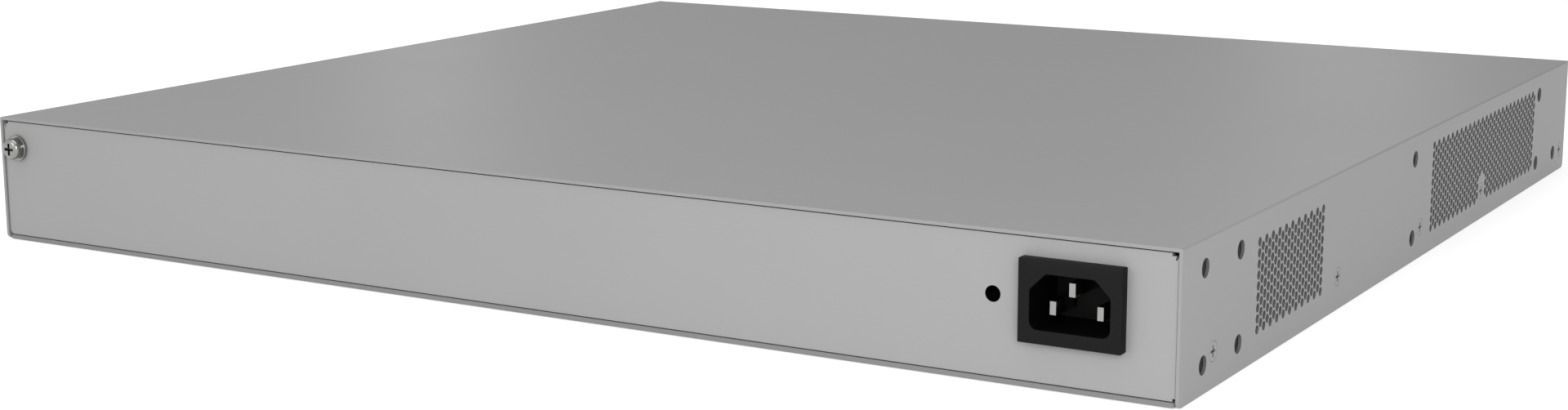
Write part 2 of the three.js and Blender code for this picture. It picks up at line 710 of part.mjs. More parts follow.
// A shell core round a wound bobbin.
function transformer() {
  const { core, winding, windingZ } = TRANSFORMER;
  const bobbin = box(about(0, winding[0]), about(0, winding[1]), windingZ);
  return bobbin.add(box(about(0, core[0]), about(0, core[1]), [0, core[2]]));
}

function ringChoke({ outer, inner, height }) {
  return turned([
    [inner, 1],
    [inner + 1, 0],
    [outer - 1, 0],
    [outer, 1],
    [outer, height - 1],
    [outer - 1, height],
    [inner + 1, height],
    [inner, height - 1],
    [inner, 1],
  ], 20);
}

// A square core with a window through it and a divider across the window.
function filterChoke() {
  const { size: [width, length, height], window } = FILTER_CHOKE;
  const low = (height - window + 2) / 2;
  const opening = box(about(0, window), about(0, length + 2), [low, height - low]);
  const divider = box(about(0, window / 4), about(0, length - 4), [low - 1, height - low + 1]);
  return box(about(0, width), about(0, length), [0, height]).subtract(opening).add(divider);
}

// A round lead along a smooth route through the given places.
function lead(route, radius, steps) {
  const path = new THREE.CatmullRomCurve3(route.map((point) => new THREE.Vector3(...point)));
  const section = new THREE.Shape(circle(0, 0, radius, 8).map(([u, v]) => new THREE.Vector2(u, v)));
  return new THREE.ExtrudeGeometry(section, { steps, extrudePath: path, bevelEnabled: false });
}

// Each mains lead runs from a pin's tail down to the power board.
function addMainsLeads() {
  const finishes = {
    inlet_pin_line: ["line_lead", "brown_wire"],
    inlet_pin_neutral: ["neutral_lead", "blue_wire"],
    inlet_pin_earth: ["earth_lead", "earth_wire"],
  };
  for (const [pinName, pin] of Object.entries(inletPinPlaces())) {
    const [name, finish] = finishes[pinName];
    const x = INLET.x + pin.x;
    const z = INLET.z + pin.z;
    const start = PIN.tail - GAP;
    const foot = pin.x === 0 ? LEAD.earthFoot : LEAD.foot;
    const route = [
      [x, start, z],
      [x, start - 3, z],
      [x, foot + 1.5, z - 3.5],
      [x, foot, SEAT + 5],
      [x, foot, SEAT],
    ];
    place(name, lead(route, LEAD.radius, 16), finish);
  }
}

// The power board's output runs forwards to the main board between two plugs.
function powerHarness() {
  const { x, radius, plugWidth, plugHeight } = HARNESS;
  const plugs = HARNESS.plugs.map((y) => box(about(x, plugWidth), y, [SEAT, SEAT + plugHeight]));
  const height = SEAT + plugHeight / 2;
  const bundle = lead([
    [x, 18, height],
    [x - 1, 5, height - 0.5],
    [x + 3, -15, height - 1.5],
    [x + 1, -38, height - 0.5],
    [x, -50, height],
  ], radius, 20);
  return joined([...plugs, solid(bundle)]);
}

function addPowerSupply() {
  place("power_board", box(POWER_BOARD.x, POWER_BOARD.y, [BOARD_BOTTOM, BOARD_TOP]), "green_board");
  place("transformer", transformer(), "ferrite", [...TRANSFORMER.at, SEAT]);
  const can = surface(capacitor(CAPACITOR));
  CAPACITOR.places.forEach((at, i) => {
    place(`bulk_capacitor_${i + 1}`, can, "capacitor_sleeve", [...at, SEAT]);
  });
  const sink = surface(heatSink(POWER_SINK));
  POWER_SINK_PLACES.forEach((at, i) => {
    place(`power_heat_sink_${i + 1}`, sink, "aluminium", [...at, SEAT]);
  });
  place("boost_choke", ringChoke(BOOST_CHOKE), "ferrite", [...BOOST_CHOKE.at, SEAT]);
  place("filter_choke", filterChoke(), "ferrite", [...FILTER_CHOKE.at, SEAT]);
  addMainsLeads();
  place("power_harness", powerHarness(), "black_plastic");
}

// ---------------------------------------------------------------- assembly

addCasing();
addEarthTerminal();
addInlet();
addPorts();
addButtonsAndLights();
addMainBoard();
addFans();
addPowerSupply();

// The origin is under the middle of the whole object, overhangs included.
chassis.position.y = (FRONT_OVERHANG - REAR_OVERHANG) / 2;

const networkSwitch = new THREE.Group();
networkSwitch.add(chassis);
export default networkSwitch;
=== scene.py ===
"""A rack-mounted network switch seen from behind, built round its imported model.

Shapes are worked out in millimetres and turned into metres as each mesh is made.
"""

import json
import math

import bmesh
import bpy
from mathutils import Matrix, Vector
from mathutils.geometry import delaunay_2d_cdt


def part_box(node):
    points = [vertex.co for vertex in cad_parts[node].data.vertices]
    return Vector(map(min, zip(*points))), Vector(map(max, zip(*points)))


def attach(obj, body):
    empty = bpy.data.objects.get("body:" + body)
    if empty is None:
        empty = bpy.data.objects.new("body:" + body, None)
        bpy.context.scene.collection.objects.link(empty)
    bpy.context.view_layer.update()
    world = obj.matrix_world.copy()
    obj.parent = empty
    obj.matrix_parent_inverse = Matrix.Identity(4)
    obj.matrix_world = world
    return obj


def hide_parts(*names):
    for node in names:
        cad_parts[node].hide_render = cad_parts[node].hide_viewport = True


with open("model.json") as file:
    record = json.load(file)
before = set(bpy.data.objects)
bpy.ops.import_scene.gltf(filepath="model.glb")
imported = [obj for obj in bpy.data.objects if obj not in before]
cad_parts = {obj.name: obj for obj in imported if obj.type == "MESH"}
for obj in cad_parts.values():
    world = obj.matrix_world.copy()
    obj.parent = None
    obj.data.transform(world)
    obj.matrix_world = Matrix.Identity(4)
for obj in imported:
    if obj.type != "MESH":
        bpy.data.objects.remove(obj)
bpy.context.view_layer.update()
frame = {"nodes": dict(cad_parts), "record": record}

MM = 0.001
CASE = "case"  # the fixed body


def box_mm(node):
    """The lowest and highest corners of a CAD node, in millimetres."""
    low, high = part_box(node)
    return [value / MM for value in low], [value / MM for value in high]


def middle(node, axis):
    low, high = box_mm(node)
    return (low[axis] + high[axis]) / 2


# ---------------------------------------------------------------- driving sizes

COVER_LOW, COVER_HIGH = box_mm("top_cover")
HALF_WIDTH = COVER_HIGH[0]
FRONT = COVER_LOW[1]
REAR = COVER_HIGH[1]
HEIGHT = COVER_HIGH[2]
CASE_Y = (FRONT + REAR) / 2  # side wall places below are measured from here
BOARD_TOP = box_mm("main_board")[1][2]

COVER_SHEET = 1.0
COVER_BEND = 0.55  # outer radius of the cover's long bends
CORNER = 2.0  # rounding of the side walls' lower corners
PANEL_SHEET = 1.2
BASE_SHEET = 1.5
GAP = 0.3  # clearance between pieces that touch
SHADOW_GAP = 0.01  # keeps a fold apart from the sheet that it belongs to

# Side walls: (y, z) places, y from the middle of the case.
BRACKET_SQUARE = 27.0
REAR_BRACKET = (179.6, 21.8)
FRONT_BRACKET = (-178.3, 22.0)
MIDDLE_BRACKET = (0.6, 21.85)
BRACKET_HOLE = 2.8
BRACKET_THREAD = 2.4
COVER_SCREWS = ((185.5, 10.6), (79.2, 10.6), (-8.4, 10.6), (-84.5, 10.6), (-202.3, 8.3))
SCREW_HEAD = 3.0
SCREW_NECK = 2.0
SCREW_SHANK = 1.4

# Vents: a honeycomb of holes, every other column shifted by half a pitch.
VENT_PITCH = 3.2
VENT_STEP = VENT_PITCH * math.sqrt(3) / 2
VENT_FLATS = 2.62  # across the flats of one hole
REAR_VENT = {"first": 150.9, "columns": 21, "middle": 21.95, "rows": (9, 8)}
FRONT_VENT = {"first": -21.3, "columns": 50, "middle": 22.4, "rows": (10, 9)}
VENT_TAB = {"y": (-88.6, -80.4), "top": 16.6}  # left solid round the screw in the vent

# The tray: its sides, the windows behind the vents as (y span, z span), and the standoffs as (x, y).
TRAY_SIDE = (-206, 203)
TRAY_WINDOWS = (((93, 154), (7, 37)), ((-79.5, -18.5), (6, 38.9)), ((-159, -89.5), (6, 38.9)))
STANDOFFS = (
    (-190, -172), (164, -172), (-190, -48), (164, -48),
    (-198, 30), (-108, 30), (-198, 168), (-108, 168),
)
BOARD_BOTTOM = 7.8

# Rear details.
STRAP_HOLE = (-165.8, 25.1)
STRAP_RADIUS = 2.35
EARTH_HOLE = 2.2
INLET_BODY = (27.4, 20.0)
SOCKET_WIDTH = 24.0
SOCKET_HEIGHT = 16.0
SOCKET_CHAMFER = 4.7
SOCKET_RADIUS = 2.5
SOCKET_DEPTH = 18.0

# Port face.
PORT_BLOCKS = ("port_block_left", "port_block_right", "console_jack", "management_jack")
CAGES = [f"sfp_cage_{number}" for number in range(1, 5)]
PORT_PITCH = 14.0
PORT_ROW = 12.9
PORT_WIDTH = 11.9
PORT_HEIGHT = 7.6
PORT_KEY = 6.4
PORT_KEY_HEIGHT = 2.0
PORT_DEPTH = 14.0
PORT_SHELL = 0.35
CAGE_WALL = 0.4
LIGHT_FIRST = 142.0
LIGHT_PITCH = 6.0
LIGHT_COUNT = 5
LIGHT_Z = 27.0
BUTTON_RADIUS = {"mode_button": 2.5, "reset_button": 1.0}
BUTTON_HOLE = {"mode_button": 2.8, "reset_button": 1.5}

# Fans.
FAN_BORE = 18.7
FAN_BORE_MOUTH = 19.3
FAN_SCREWS = 16.0  # from the middle of the fan, both ways
FAN_HUB = 10.0
FAN_TIP = 18.1
FAN_BLADES = 7
BLADE_CHORD = 16.5

# Chips and power parts.
LEADED_CHIPS = ("port_chip_left", "port_chip_right", "memory_chip")
BALL_CHIPS = ("switch_chip", "processor_chip")


# ---------------------------------------------------------------- mesh building


def lay(outline, axis, level):
    """The points of a flat outline that faces an axis, at a level along it."""
    index = "xyz".index(axis)
    return [(*point[:index], level, *point[index:]) for point in outline]


class Shape:
    """A mesh under construction, in millimetres, made of rings of points."""

    def __init__(self):
        self.bm = bmesh.new()

    def ring(self, points):
        return [self.bm.verts.new(point) for point in points]

    def lay(self, outline, level, axis="y"):
        return self.ring(lay(outline, axis, level))

    def lay_all(self, levels, axis="y"):
        return [self.lay(outline, level, axis) for outline, level in levels]

    def lay_round(self, place, radius, height, sides):
        return self.ring([place(u, v, height) for u, v in circle(0, 0, radius, sides)])

    def face(self, verts):
        self.bm.faces.new(verts)

    def wall(self, ring_a, ring_b, closed=True):
        """Quads between two rings of the same length."""
        count = len(ring_a)
        for i in range(count if closed else count - 1):
            j = (i + 1) % count
            self.bm.faces.new((ring_a[i], ring_a[j], ring_b[j], ring_b[i]))

    def walls(self, rings):
        for ring_a, ring_b in zip(rings, rings[1:]):
            self.wall(ring_a, ring_b)

    def pocket(self, mouth, floor):
        self.wall(mouth, floor)
        self.face(floor)

    def solid(self, rings):
        """A closed solid through rings of the same length, capped at both ends."""
        self.walls(rings)
        self.face(rings[0])
        self.face(rings[-1])

    def stack(self, levels, axis="y"):
        """A closed solid through (outline, level) pairs along an axis."""
        self.solid(self.lay_all(levels, axis))

    def box(self, x, y, z):
        outline = [(x[0], y[0]), (x[1], y[0]), (x[1], y[1]), (x[0], y[1])]
        self.stack([(outline, level) for level in z], "z")

    def fill(self, outer, holes=(), across="y"):
        """A flat face inside a ring and outside the hole rings. across is the axis it faces."""
        keep = [i for i in range(3) if i != "xyz".index(across)]
        verts = list(outer)
        faces = [list(range(len(outer)))]
        for hole in holes:
            faces.append(list(range(len(verts), len(verts) + len(hole))))
            verts.extend(hole)
        flat = [Vector((vert.co[keep[0]], vert.co[keep[1]])) for vert in verts]
        made = delaunay_2d_cdt(flat, [], faces, 0, 1e-5)
        for face, sources in zip(made[2], made[5]):
            if list(sources) != [0]:
                continue
            corners = [verts[made[3][i][0]] for i in face]
            try:
                self.bm.faces.new(corners)
            except ValueError:  # the face is there already
                pass

    def bevel_edges(self, chosen):
        """Marks the edges for which chosen(start, end) is true to be bevelled later."""
        layer = self.bm.edges.layers.float.new("bevel_weight_edge")
        for edge in self.bm.edges:
            if chosen(edge.verts[0].co, edge.verts[1].co):
                edge[layer] = 1.0

    def make(self, name, smooth_angle=32):
        bmesh.ops.remove_doubles(self.bm, verts=self.bm.verts, dist=1e-5)
        bmesh.ops.recalc_face_normals(self.bm, faces=self.bm.faces)
        bmesh.ops.scale(self.bm, vec=(MM, MM, MM), verts=self.bm.verts)
        mesh = bpy.data.meshes.new(name)
        self.bm.to_mesh(mesh)
        self.bm.free()
        for polygon in mesh.polygons:
            polygon.use_smooth = True
        mesh.set_sharp_from_angle(angle=math.radians(smooth_angle))
        obj = bpy.data.objects.new(name, mesh)
        bpy.context.scene.collection.objects.link(obj)
        return obj


def arc(u, v, radius, start, end, steps):
    angles = [math.radians(start + (end - start) * i / steps) for i in range(steps + 1)]
    return [(u + radius * math.cos(a), v + radius * math.sin(a)) for a in angles]


def circle(u, v, radius, sides):
    return arc(u, v, radius, 0, 360, sides)[:-1]


def rounded_box(u, v, radius, steps=4):
    """The outline of a rectangle with rounded corners, anticlockwise."""
    (u0, u1), (v0, v1) = u, v
    return (
        arc(u0 + radius, v0 + radius, radius, 180, 270, steps)
        + arc(u1 - radius, v0 + radius, radius, 270, 360, steps)
        + arc(u1 - radius, v1 - radius, radius, 0, 90, steps)
        + arc(u0 + radius, v1 - radius, radius, 90, 180, steps)
    )


def box_outline(low, high, inset, radius, axis="y", steps=4):
    """The rounded outline of a box seen along an axis, inset all round."""
    u, v = [i for i in range(3) if i != "xyz".index(axis)]
    return rounded_box((low[u] + inset, high[u] - inset), (low[v] + inset, high[v] - inset), radius, steps)


def inset_levels(low, high, radius, insets, axis="y", steps=4):
    """A box's (outline, level) pairs from (inset, level) pairs along an axis."""
    return [(box_outline(low, high, inset, radius, axis, steps), level) for inset, level in insets]


def about(centre, length):
    return (centre - length / 2, centre + length / 2)


def place_about(axis, u0, v0):
    """Puts points given about a line along an axis into the frame, as place(u, v, height)."""

    def place(u, v, height):
        return lay([(u0 + u, v0 + v)], axis, height)[0]

    return place


def turned(shape, profile, sides, place):
    """A solid of revolution from (radius, height) points that start and end on the axis."""
    rings = []
    for radius, height in profile:
        rings.append(shape.lay_round(place, radius, height, sides if radius else 1))
    for ring_a, ring_b in zip(rings, rings[1:]):
        if min(len(ring_a), len(ring_b)) > 1:
            shape.wall(ring_a, ring_b)
            continue
        (tip,), ring = sorted((ring_a, ring_b), key=len)
        for i, vert in enumerate(ring):
            shape.face((tip, vert, ring[(i + 1) % sides]))


def turned_ring(shape, section, sides, place):
    """A ring of revolution from a closed section of (radius, height) points."""
    rings = [shape.lay_round(place, radius, height, sides) for radius, height in section]
    shape.walls(rings + [rings[0]])


def screw(shape, profile, top_radius, height, recess, place, across, sides=40):
    """A turned screw whose flat top of top_radius carries a cross recess (span, width, depth)."""
    tip = shape.bm.verts.new(place(0, 0, profile[0][1]))
    points = [*profile[1:], (top_radius, height)]
    rings = [shape.lay_round(place, radius, level, sides) for radius, level in points]
    for i in range(sides):
        shape.face((tip, rings[0][i], rings[0][(i + 1) % sides]))
    shape.walls(rings)
    span, width, depth = recess
    taper = 0.8
    mouth = shape.ring([place(u, v, height) for u, v in cross_outline(span, width)])
    floor = shape.ring([place(u, v, height - depth) for u, v in cross_outline(span * taper, width * taper)])
    shape.fill(rings[-1], [mouth], across)
    shape.pocket(mouth, floor)


def cross_outline(span, width):
    """A cross of two bars, anticlockwise."""
    a, b = span / 2, width / 2
    half = [(a, -b), (a, b), (b, b), (b, a), (-b, a), (-b, b)]
    return half + [(-u, -v) for u, v in half]


def sheet(shape, axis, levels, outline, holes, closed=True):
    """A flat plate between two levels of an axis, with holes given as (front, back) outlines."""
    outer = [shape.lay(outline, level, axis) for level in levels]
    pairs = [[shape.lay(side, level, axis) for side, level in zip(hole, levels)] for hole in holes]
    for i in (0, 1):
        shape.fill(outer[i], [pair[i] for pair in pairs], axis)
    for front, back in pairs:
        shape.wall(front, back)
    if closed:
        shape.wall(*outer)
    return outer


def straight(outline):
    """A hole with the same outline on both faces."""
    return (outline, outline)


def round_holes(places, radius, sides=32):
    return [straight(circle(*place, radius, sides)) for place in places]


def strip(shape, x, width, thickness, root, sign, path):
    """A sprung metal strip from a (y, z) root through (depth, rise) points. sign is -1 to rise downwards."""
    levels = []
    for depth, rise in path:
        z = root[1] + sign * rise
        near, far = about(x, width)
        section = [(near, z), (far, z), (far, z + sign * thickness), (near, z + sign * thickness)]
        levels.append((section, root[0] + depth))
    shape.stack(levels)


# ---------------------------------------------------------------- finishing pieces


def add_bevel(obj, width, weighted=False):
    bevel = obj.modifiers.new("bevel", "BEVEL")
    bevel.width = width * MM
    bevel.segments = 2
    bevel.limit_method = "WEIGHT" if weighted else "ANGLE"
    bevel.angle_limit = math.radians(40)


def add_weighted_normals(obj):
    modifier = obj.modifiers.new("normals", "WEIGHTED_NORMAL")
    modifier.keep_sharp = True
    modifier.weight = 100


def finish_piece(obj, material, nodes=(), body=CASE):
    obj.data.materials.clear()
    obj.data.materials.append(material)
    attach(obj, body)
    if nodes:
        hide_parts(*nodes)


# ---------------------------------------------------------------- materials


class Nodes:
    """Adds nodes to a node tree. A node's input is a value or the output that feeds it."""

    def __init__(self, tree):
        self.nodes, self.links = tree.nodes, tree.links

    def feed(self, node, inputs):
        for socket, value in inputs.items():
            if isinstance(value, bpy.types.NodeSocket):
                self.links.new(value, node.inputs[socket])
            else:
                node.inputs[socket].default_value = value

    def add(self, kind, inputs, output, **settings):
        node = self.nodes.new("ShaderNode" + kind)
        for name, value in settings.items():
            setattr(node, name, value)
        self.feed(node, inputs)
        return node.outputs[output]

    def maths(self, operation, first, second):
        return self.add("Math", {0: first, 1: second}, "Value", operation=operation)


def surface_material(
    name,
    colour,
    roughness,
    metallic=0.0,
    tint=0.06,
    tint_scale=30.0,
    roughness_spread=0.08,
    grain_scale=1800.0,
    grain_depth=0.00002,
    grain_strength=0.3,
    stretch=(1.0, 1.0, 1.0),
    specular=0.5,
    coat=0.0,
):
    """A finish with mottled colour, uneven gloss and a fine raised grain."""
    material = bpy.data.materials.new(name)
    material.use_nodes = True
    tree = Nodes(material.node_tree)
    place = tree.add("TexCoord", {}, "Object")
    place = tree.add("Mapping", {"Scale": stretch, "Vector": place}, "Vector")
    mottle = tree.add("TexNoise", {"Scale": tint_scale, "Detail": 5.0, "Vector": place}, "Fac")
    darker = (*[value * (1 - tint) for value in colour], 1)
    lighter = (*[min(1, value * (1 + tint)) for value in colour], 1)
    spread = {"To Min": roughness - roughness_spread, "To Max": roughness + roughness_spread, "Value": mottle}
    grain = tree.add("TexNoise", {"Scale": grain_scale, "Detail": 3.0, "Vector": place}, "Fac")
    bump = {"Strength": grain_strength, "Distance": grain_depth, "Height": grain}
    shader = {
        "Metallic": metallic,
        "Specular IOR Level": specular,
        "Base Color": tree.add("MixRGB", {"Color1": darker, "Color2": lighter, "Fac": mottle}, "Color"),
        "Roughness": tree.add("MapRange", spread, "Result"),
        "Normal": tree.add("Bump", bump, "Normal"),
    }
    if coat:
        shader.update({"Coat Weight": coat, "Coat Roughness": 0.25})
    tree.feed(tree.nodes["Principled BSDF"], shader)
    return material


def paint_shade_region(material, centre, half, inside, factor):
    """Paints shade into a finish: darkens its colour inside (or outside) a box given in millimetres by its
    centre and half sizes.
    """
    tree = Nodes(material.node_tree)
    shader = tree.nodes["Principled BSDF"]
    point = tree.add("TexCoord", {}, "Object")
    for operation, amount in (("SUBTRACT", centre), ("DIVIDE", half)):
        amount = [value * MM for value in amount]
        point = tree.add("VectorMath", {0: point, 1: amount}, "Vector", operation=operation)
    point = tree.add("VectorMath", {0: point}, "Vector", operation="ABSOLUTE")
    x, y, z = tree.add("SeparateXYZ", {"Vector": point}, "X").node.outputs
    farthest = tree.maths("MAXIMUM", x, tree.maths("MAXIMUM", y, z))
    mask = tree.maths("LESS_THAN" if inside else "GREATER_THAN", farthest, 1.0)
    level = tree.maths("SUBTRACT", 1.0, tree.maths("MULTIPLY", mask, 1.0 - factor))
    source = shader.inputs["Base Color"].links[0].from_socket
    shaded = tree.add("VectorMath", {0: source, "Scale": level}, "Vector", operation="SCALE")
    tree.feed(shader, {"Base Color": shaded})


def srgb(value):
    """The linear value of a display level from 0 to 255."""
    level = value / 255
    return ((level + 0.055) / 1.055) ** 2.4 if level > 0.04045 else level / 12.92


def grey(value):
    return (srgb(value),) * 3


POWDER_COAT = {"tint_scale": 14, "grain_scale": 2600, "grain_depth": 0.00003, "grain_strength": 0.25}
GLOSSY_COAT = {**POWDER_COAT, "tint": 0.025, "roughness_spread": 0.04, "specular": 0.24}
PAINT = surface_material("grey_paint", grey(134), 0.42, **GLOSSY_COAT)
COVER_PAINT = surface_material("cover_paint", grey(133), 0.42, **GLOSSY_COAT)
# Painted shade: the tray's paint is a darker copy of the grey paint, which darkens the tray's edge under the
# rear panel.
SHADED_TRAY_PAINT = surface_material("tray_paint_painted_shade", grey(112), 0.45, **POWDER_COAT, tint=0.03, roughness_spread=0.05,
                              specular=0.2)
# Painted shade: the tray's sides are a dark grey that stands in for the shade inside the case, seen through
# the cover's holes.
TRAY_SIDE_SHADE = surface_material("tray_side_painted_shade", grey(62), 0.5, tint=0.12, tint_scale=60, grain_scale=900,
                               roughness_spread=0.1, specular=0.2)
STEEL = surface_material("plated_steel", (0.60, 0.60, 0.58), 0.32, metallic=1.0, grain_scale=900,
                         stretch=(1, 1, 6), roughness_spread=0.1)
CHROME = surface_material("bright_screw", (0.27, 0.27, 0.255), 0.16, metallic=1.0, tint=0.04,
                          roughness_spread=0.05)
PORT_METAL = surface_material("port_shell_metal", (0.55, 0.56, 0.57), 0.3, metallic=1.0, tint=0.05,
                              grain_scale=1200, stretch=(6, 1, 1), roughness_spread=0.08)
BLACK = surface_material("black_plastic", (0.018, 0.018, 0.018), 0.45, tint=0.12, grain_scale=1500,
                         grain_depth=0.00004, roughness_spread=0.08)
INLET_BLACK = surface_material("inlet_plastic", (0.006, 0.006, 0.006), 0.45, tint=0.08, grain_scale=1500,
                               grain_depth=0.00004, roughness_spread=0.06, specular=0.08)
BLADE = surface_material("pin_metal", (0.29, 0.29, 0.278), 0.2, metallic=1.0, tint=0.05, grain_scale=900,
                         stretch=(1, 8, 1))
GOLD = surface_material("contact_gold", (0.83, 0.62, 0.27), 0.28, metallic=1.0, tint=0.05)
BOARD = surface_material("board_mask", (0.02, 0.095, 0.045), 0.35, tint=0.15, tint_scale=60, coat=0.3)
RESIN = surface_material("chip_resin", (0.016, 0.016, 0.018), 0.6, tint=0.15)
ALUMINIUM = surface_material("aluminium", (0.62, 0.63, 0.65), 0.38, metallic=1.0, stretch=(1, 10, 1),
                             grain_scale=700)
CLEAR = surface_material("light_guide_plastic", (0.78, 0.82, 0.80), 0.18, tint=0.03)
FERRITE = surface_material("ferrite", (0.05, 0.05, 0.055), 0.7, tint=0.2, grain_scale=900)
SLEEVE = surface_material("capacitor_sleeve", (0.012, 0.022, 0.045), 0.35, tint=0.1)
ENAMEL = surface_material("winding_enamel", (0.42, 0.13, 0.04), 0.28, tint=0.1, coat=0.4)
TAPE = surface_material("winding_tape", (0.62, 0.42, 0.05), 0.4, tint=0.08)
CERAMIC = surface_material("chip_ceramic", (0.30, 0.22, 0.14), 0.5, tint=0.15)
BROWN = surface_material("brown_insulation", (0.10, 0.035, 0.015), 0.5)
BLUE = surface_material("blue_insulation", (0.015, 0.09, 0.35), 0.5)
GREEN = surface_material("earth_insulation", (0.16, 0.35, 0.02), 0.5)


# Painted shade: the cover's punched hole walls, its inner faces and the flush screws' cross recesses are
# darkened as painted shade, the cover's sheet ends are darkened a little as painted shade, and the walls of
# the mains socket's well are darkened as painted shade.
HOLE_WALL_SHADE = 0.47
SHEET_END_SHADE = 0.93
SOCKET_WELL_SHADE = 0.2
CASE_CENTRE = (0.0, CASE_Y, HEIGHT / 2)
HALF_DEPTH = (REAR - FRONT) / 2
HOLE_WALL_SHADE_REGION = (HALF_WIDTH - 0.04, HALF_DEPTH - 3.0, HEIGHT / 2 - COVER_SHEET - 0.2)
SHEET_END_SHADE_REGION = (HALF_WIDTH + 1.0, HALF_DEPTH - 0.13, HEIGHT)
SOCKET_CENTRE = [middle("inlet_housing", axis) for axis in range(3)]
SOCKET_CENTRE[1] = box_mm("inlet_housing")[1][1] - SOCKET_DEPTH / 2
SOCKET_SHADE_REGION = (SOCKET_WIDTH / 2 + 0.1, SOCKET_DEPTH / 2 - 0.15, SOCKET_HEIGHT / 2 + 0.1)
# Painted shade: darkens the cover's hole walls, inner faces and the screws' cross recesses.
paint_shade_region(COVER_PAINT, CASE_CENTRE, HOLE_WALL_SHADE_REGION, True, HOLE_WALL_SHADE)
# Painted shade: darkens the cover's cut ends at front and rear a little.
paint_shade_region(COVER_PAINT, CASE_CENTRE, SHEET_END_SHADE_REGION, False, SHEET_END_SHADE)
# Painted shade: darkens the walls of the mains socket's well.
paint_shade_region(INLET_BLACK, SOCKET_CENTRE, SOCKET_SHADE_REGION, True, SOCKET_WELL_SHADE)


# ---------------------------------------------------------------- camera, light and floor

FLOOR_GLOW = 0.58
ROOM_LEVEL = 0.65
ROOM_SLOPE = (0.16, 0.5, 0.22)  # how the room's brightness rises along X, Y and Z
CAMERA_PLACE = (-0.45191, 0.80305, 0.17933)
CAMERA_TURN = (78.8801, 0.1229, -149.3749)
CAMERA_LENS = 56.446


def add_camera():
    data = bpy.data.cameras.new("camera")
    data.sensor_fit = "HORIZONTAL"
    data.sensor_width = 36.0
    data.lens = CAMERA_LENS
    data.clip_start = 0.01
    data.clip_end = 20
    camera = bpy.data.objects.new("camera", data)
    camera.location = CAMERA_PLACE
    camera.rotation_euler = [math.radians(angle) for angle in CAMERA_TURN]
    bpy.context.scene.collection.objects.link(camera)
    bpy.context.scene.camera = camera


def add_area_light(name, place, target, size, power):
    data = bpy.data.lights.new(name, "AREA")
    data.shape = "RECTANGLE"
    data.size, data.size_y = size
    data.energy = power
    light = bpy.data.objects.new(name, data)
    light.location = place
    aim = Vector(target) - Vector(place)
    light.rotation_euler = aim.to_track_quat("-Z", "Y").to_euler()
    light.visible_camera = False
    bpy.context.scene.collection.objects.link(light)


def add_lights():
    """Soft boxes: one near the inlet's corner, one behind, one overhead and two strips far in front."""
    middle_of_case = (0.0, 0.0, 0.04)
    rear_middle = (0.0, 0.21, 0.02)
    rear_corner = (-0.22, 0.21, 0.02)
    add_area_light("corner_box", (-0.6, 0.8, 0.3), rear_corner, (0.35, 0.35), 3.7)
    add_area_light("rear_box", (0.5, 1.5, 0.6), rear_middle, (0.8, 0.6), 4.2)
    add_area_light("overhead_box", (0.0, 0.0, 2.0), middle_of_case, (2.0, 2.0), 16)
    add_area_light("far_strip_1", (1.79, -1.96, 0.55), middle_of_case, (0.16, 1.1), 0.5)
    add_area_light("far_strip_2", (0.66, -2.7, 0.55), middle_of_case, (0.26, 1.1), 0.7)


def add_floor():
    shape = Shape()
    reach = 6000
    shape.face(shape.lay([(-reach, -reach), (reach, -reach), (reach, reach), (-reach, reach)], 0, "z"))
    floor = shape.make("floor")
    floor.location.z = -0.0002
    material = surface_material("pale_floor", (0.50, 0.50, 0.50), 0.75, tint=0.01, tint_scale=3)
    shader = material.node_tree.nodes["Principled BSDF"]
    shader.inputs["Emission Color"].default_value = (1, 1, 1, 1)
    shader.inputs["Emission Strength"].default_value = FLOOR_GLOW
    floor.data.materials.append(material)


def add_world():
    """A room that is brightest behind the inlet and dimmest beyond the ports. The camera sees it as white."""
    world = bpy.data.worlds.new("studio")
    bpy.context.scene.world = world
    world.use_nodes = True
    tree = Nodes(world.node_tree)
    way = tree.add("TexCoord", {}, "Generated")
    slope = tree.add("VectorMath", {0: way, 1: ROOM_SLOPE}, "Value", operation="DOT_PRODUCT")
    level = tree.maths("ADD", slope, ROOM_LEVEL)
    strength = tree.maths("MAXIMUM", level, tree.add("LightPath", {}, "Is Camera Ray"))
    tree.feed(tree.nodes["Background"], {"Color": (1, 1, 1, 1), "Strength": strength})


# ---------------------------------------------------------------- sheet metal case


def side_holes():
    """Bracket holes as (y, z) places: a square at each end, the front one short of a hole, and a pair."""
    reach = BRACKET_SQUARE / 2
    square = [(i * reach, j * reach) for i in (1, -1) for j in (-1, 1)]
    rear = [(REAR_BRACKET[0] + y, REAR_BRACKET[1] + z) for y, z in square]
    front = [(FRONT_BRACKET[0] + y, FRONT_BRACKET[1] + z) for y, z in square[:3]]
    pair = [(MIDDLE_BRACKET[0], MIDDLE_BRACKET[1] + j * reach) for j in (-1, 1)]
    return [(y + CASE_Y, z) for y, z in rear + front + pair]


def screw_places():
    return [(y + CASE_Y, z) for y, z in COVER_SCREWS]


def vent_centres(vent):
    centres = []
    for column in range(vent["columns"]):
        y = vent["first"] - column * VENT_STEP
        rows = vent["rows"][column % 2]
        for row in range(rows):
            z = vent["middle"] + (row - (rows - 1) / 2) * VENT_PITCH
            beside_tab = VENT_TAB["y"][0] < y < VENT_TAB["y"][1]
            if not (beside_tab and z < VENT_TAB["top"]):
                centres.append((y + CASE_Y, z))
    return centres


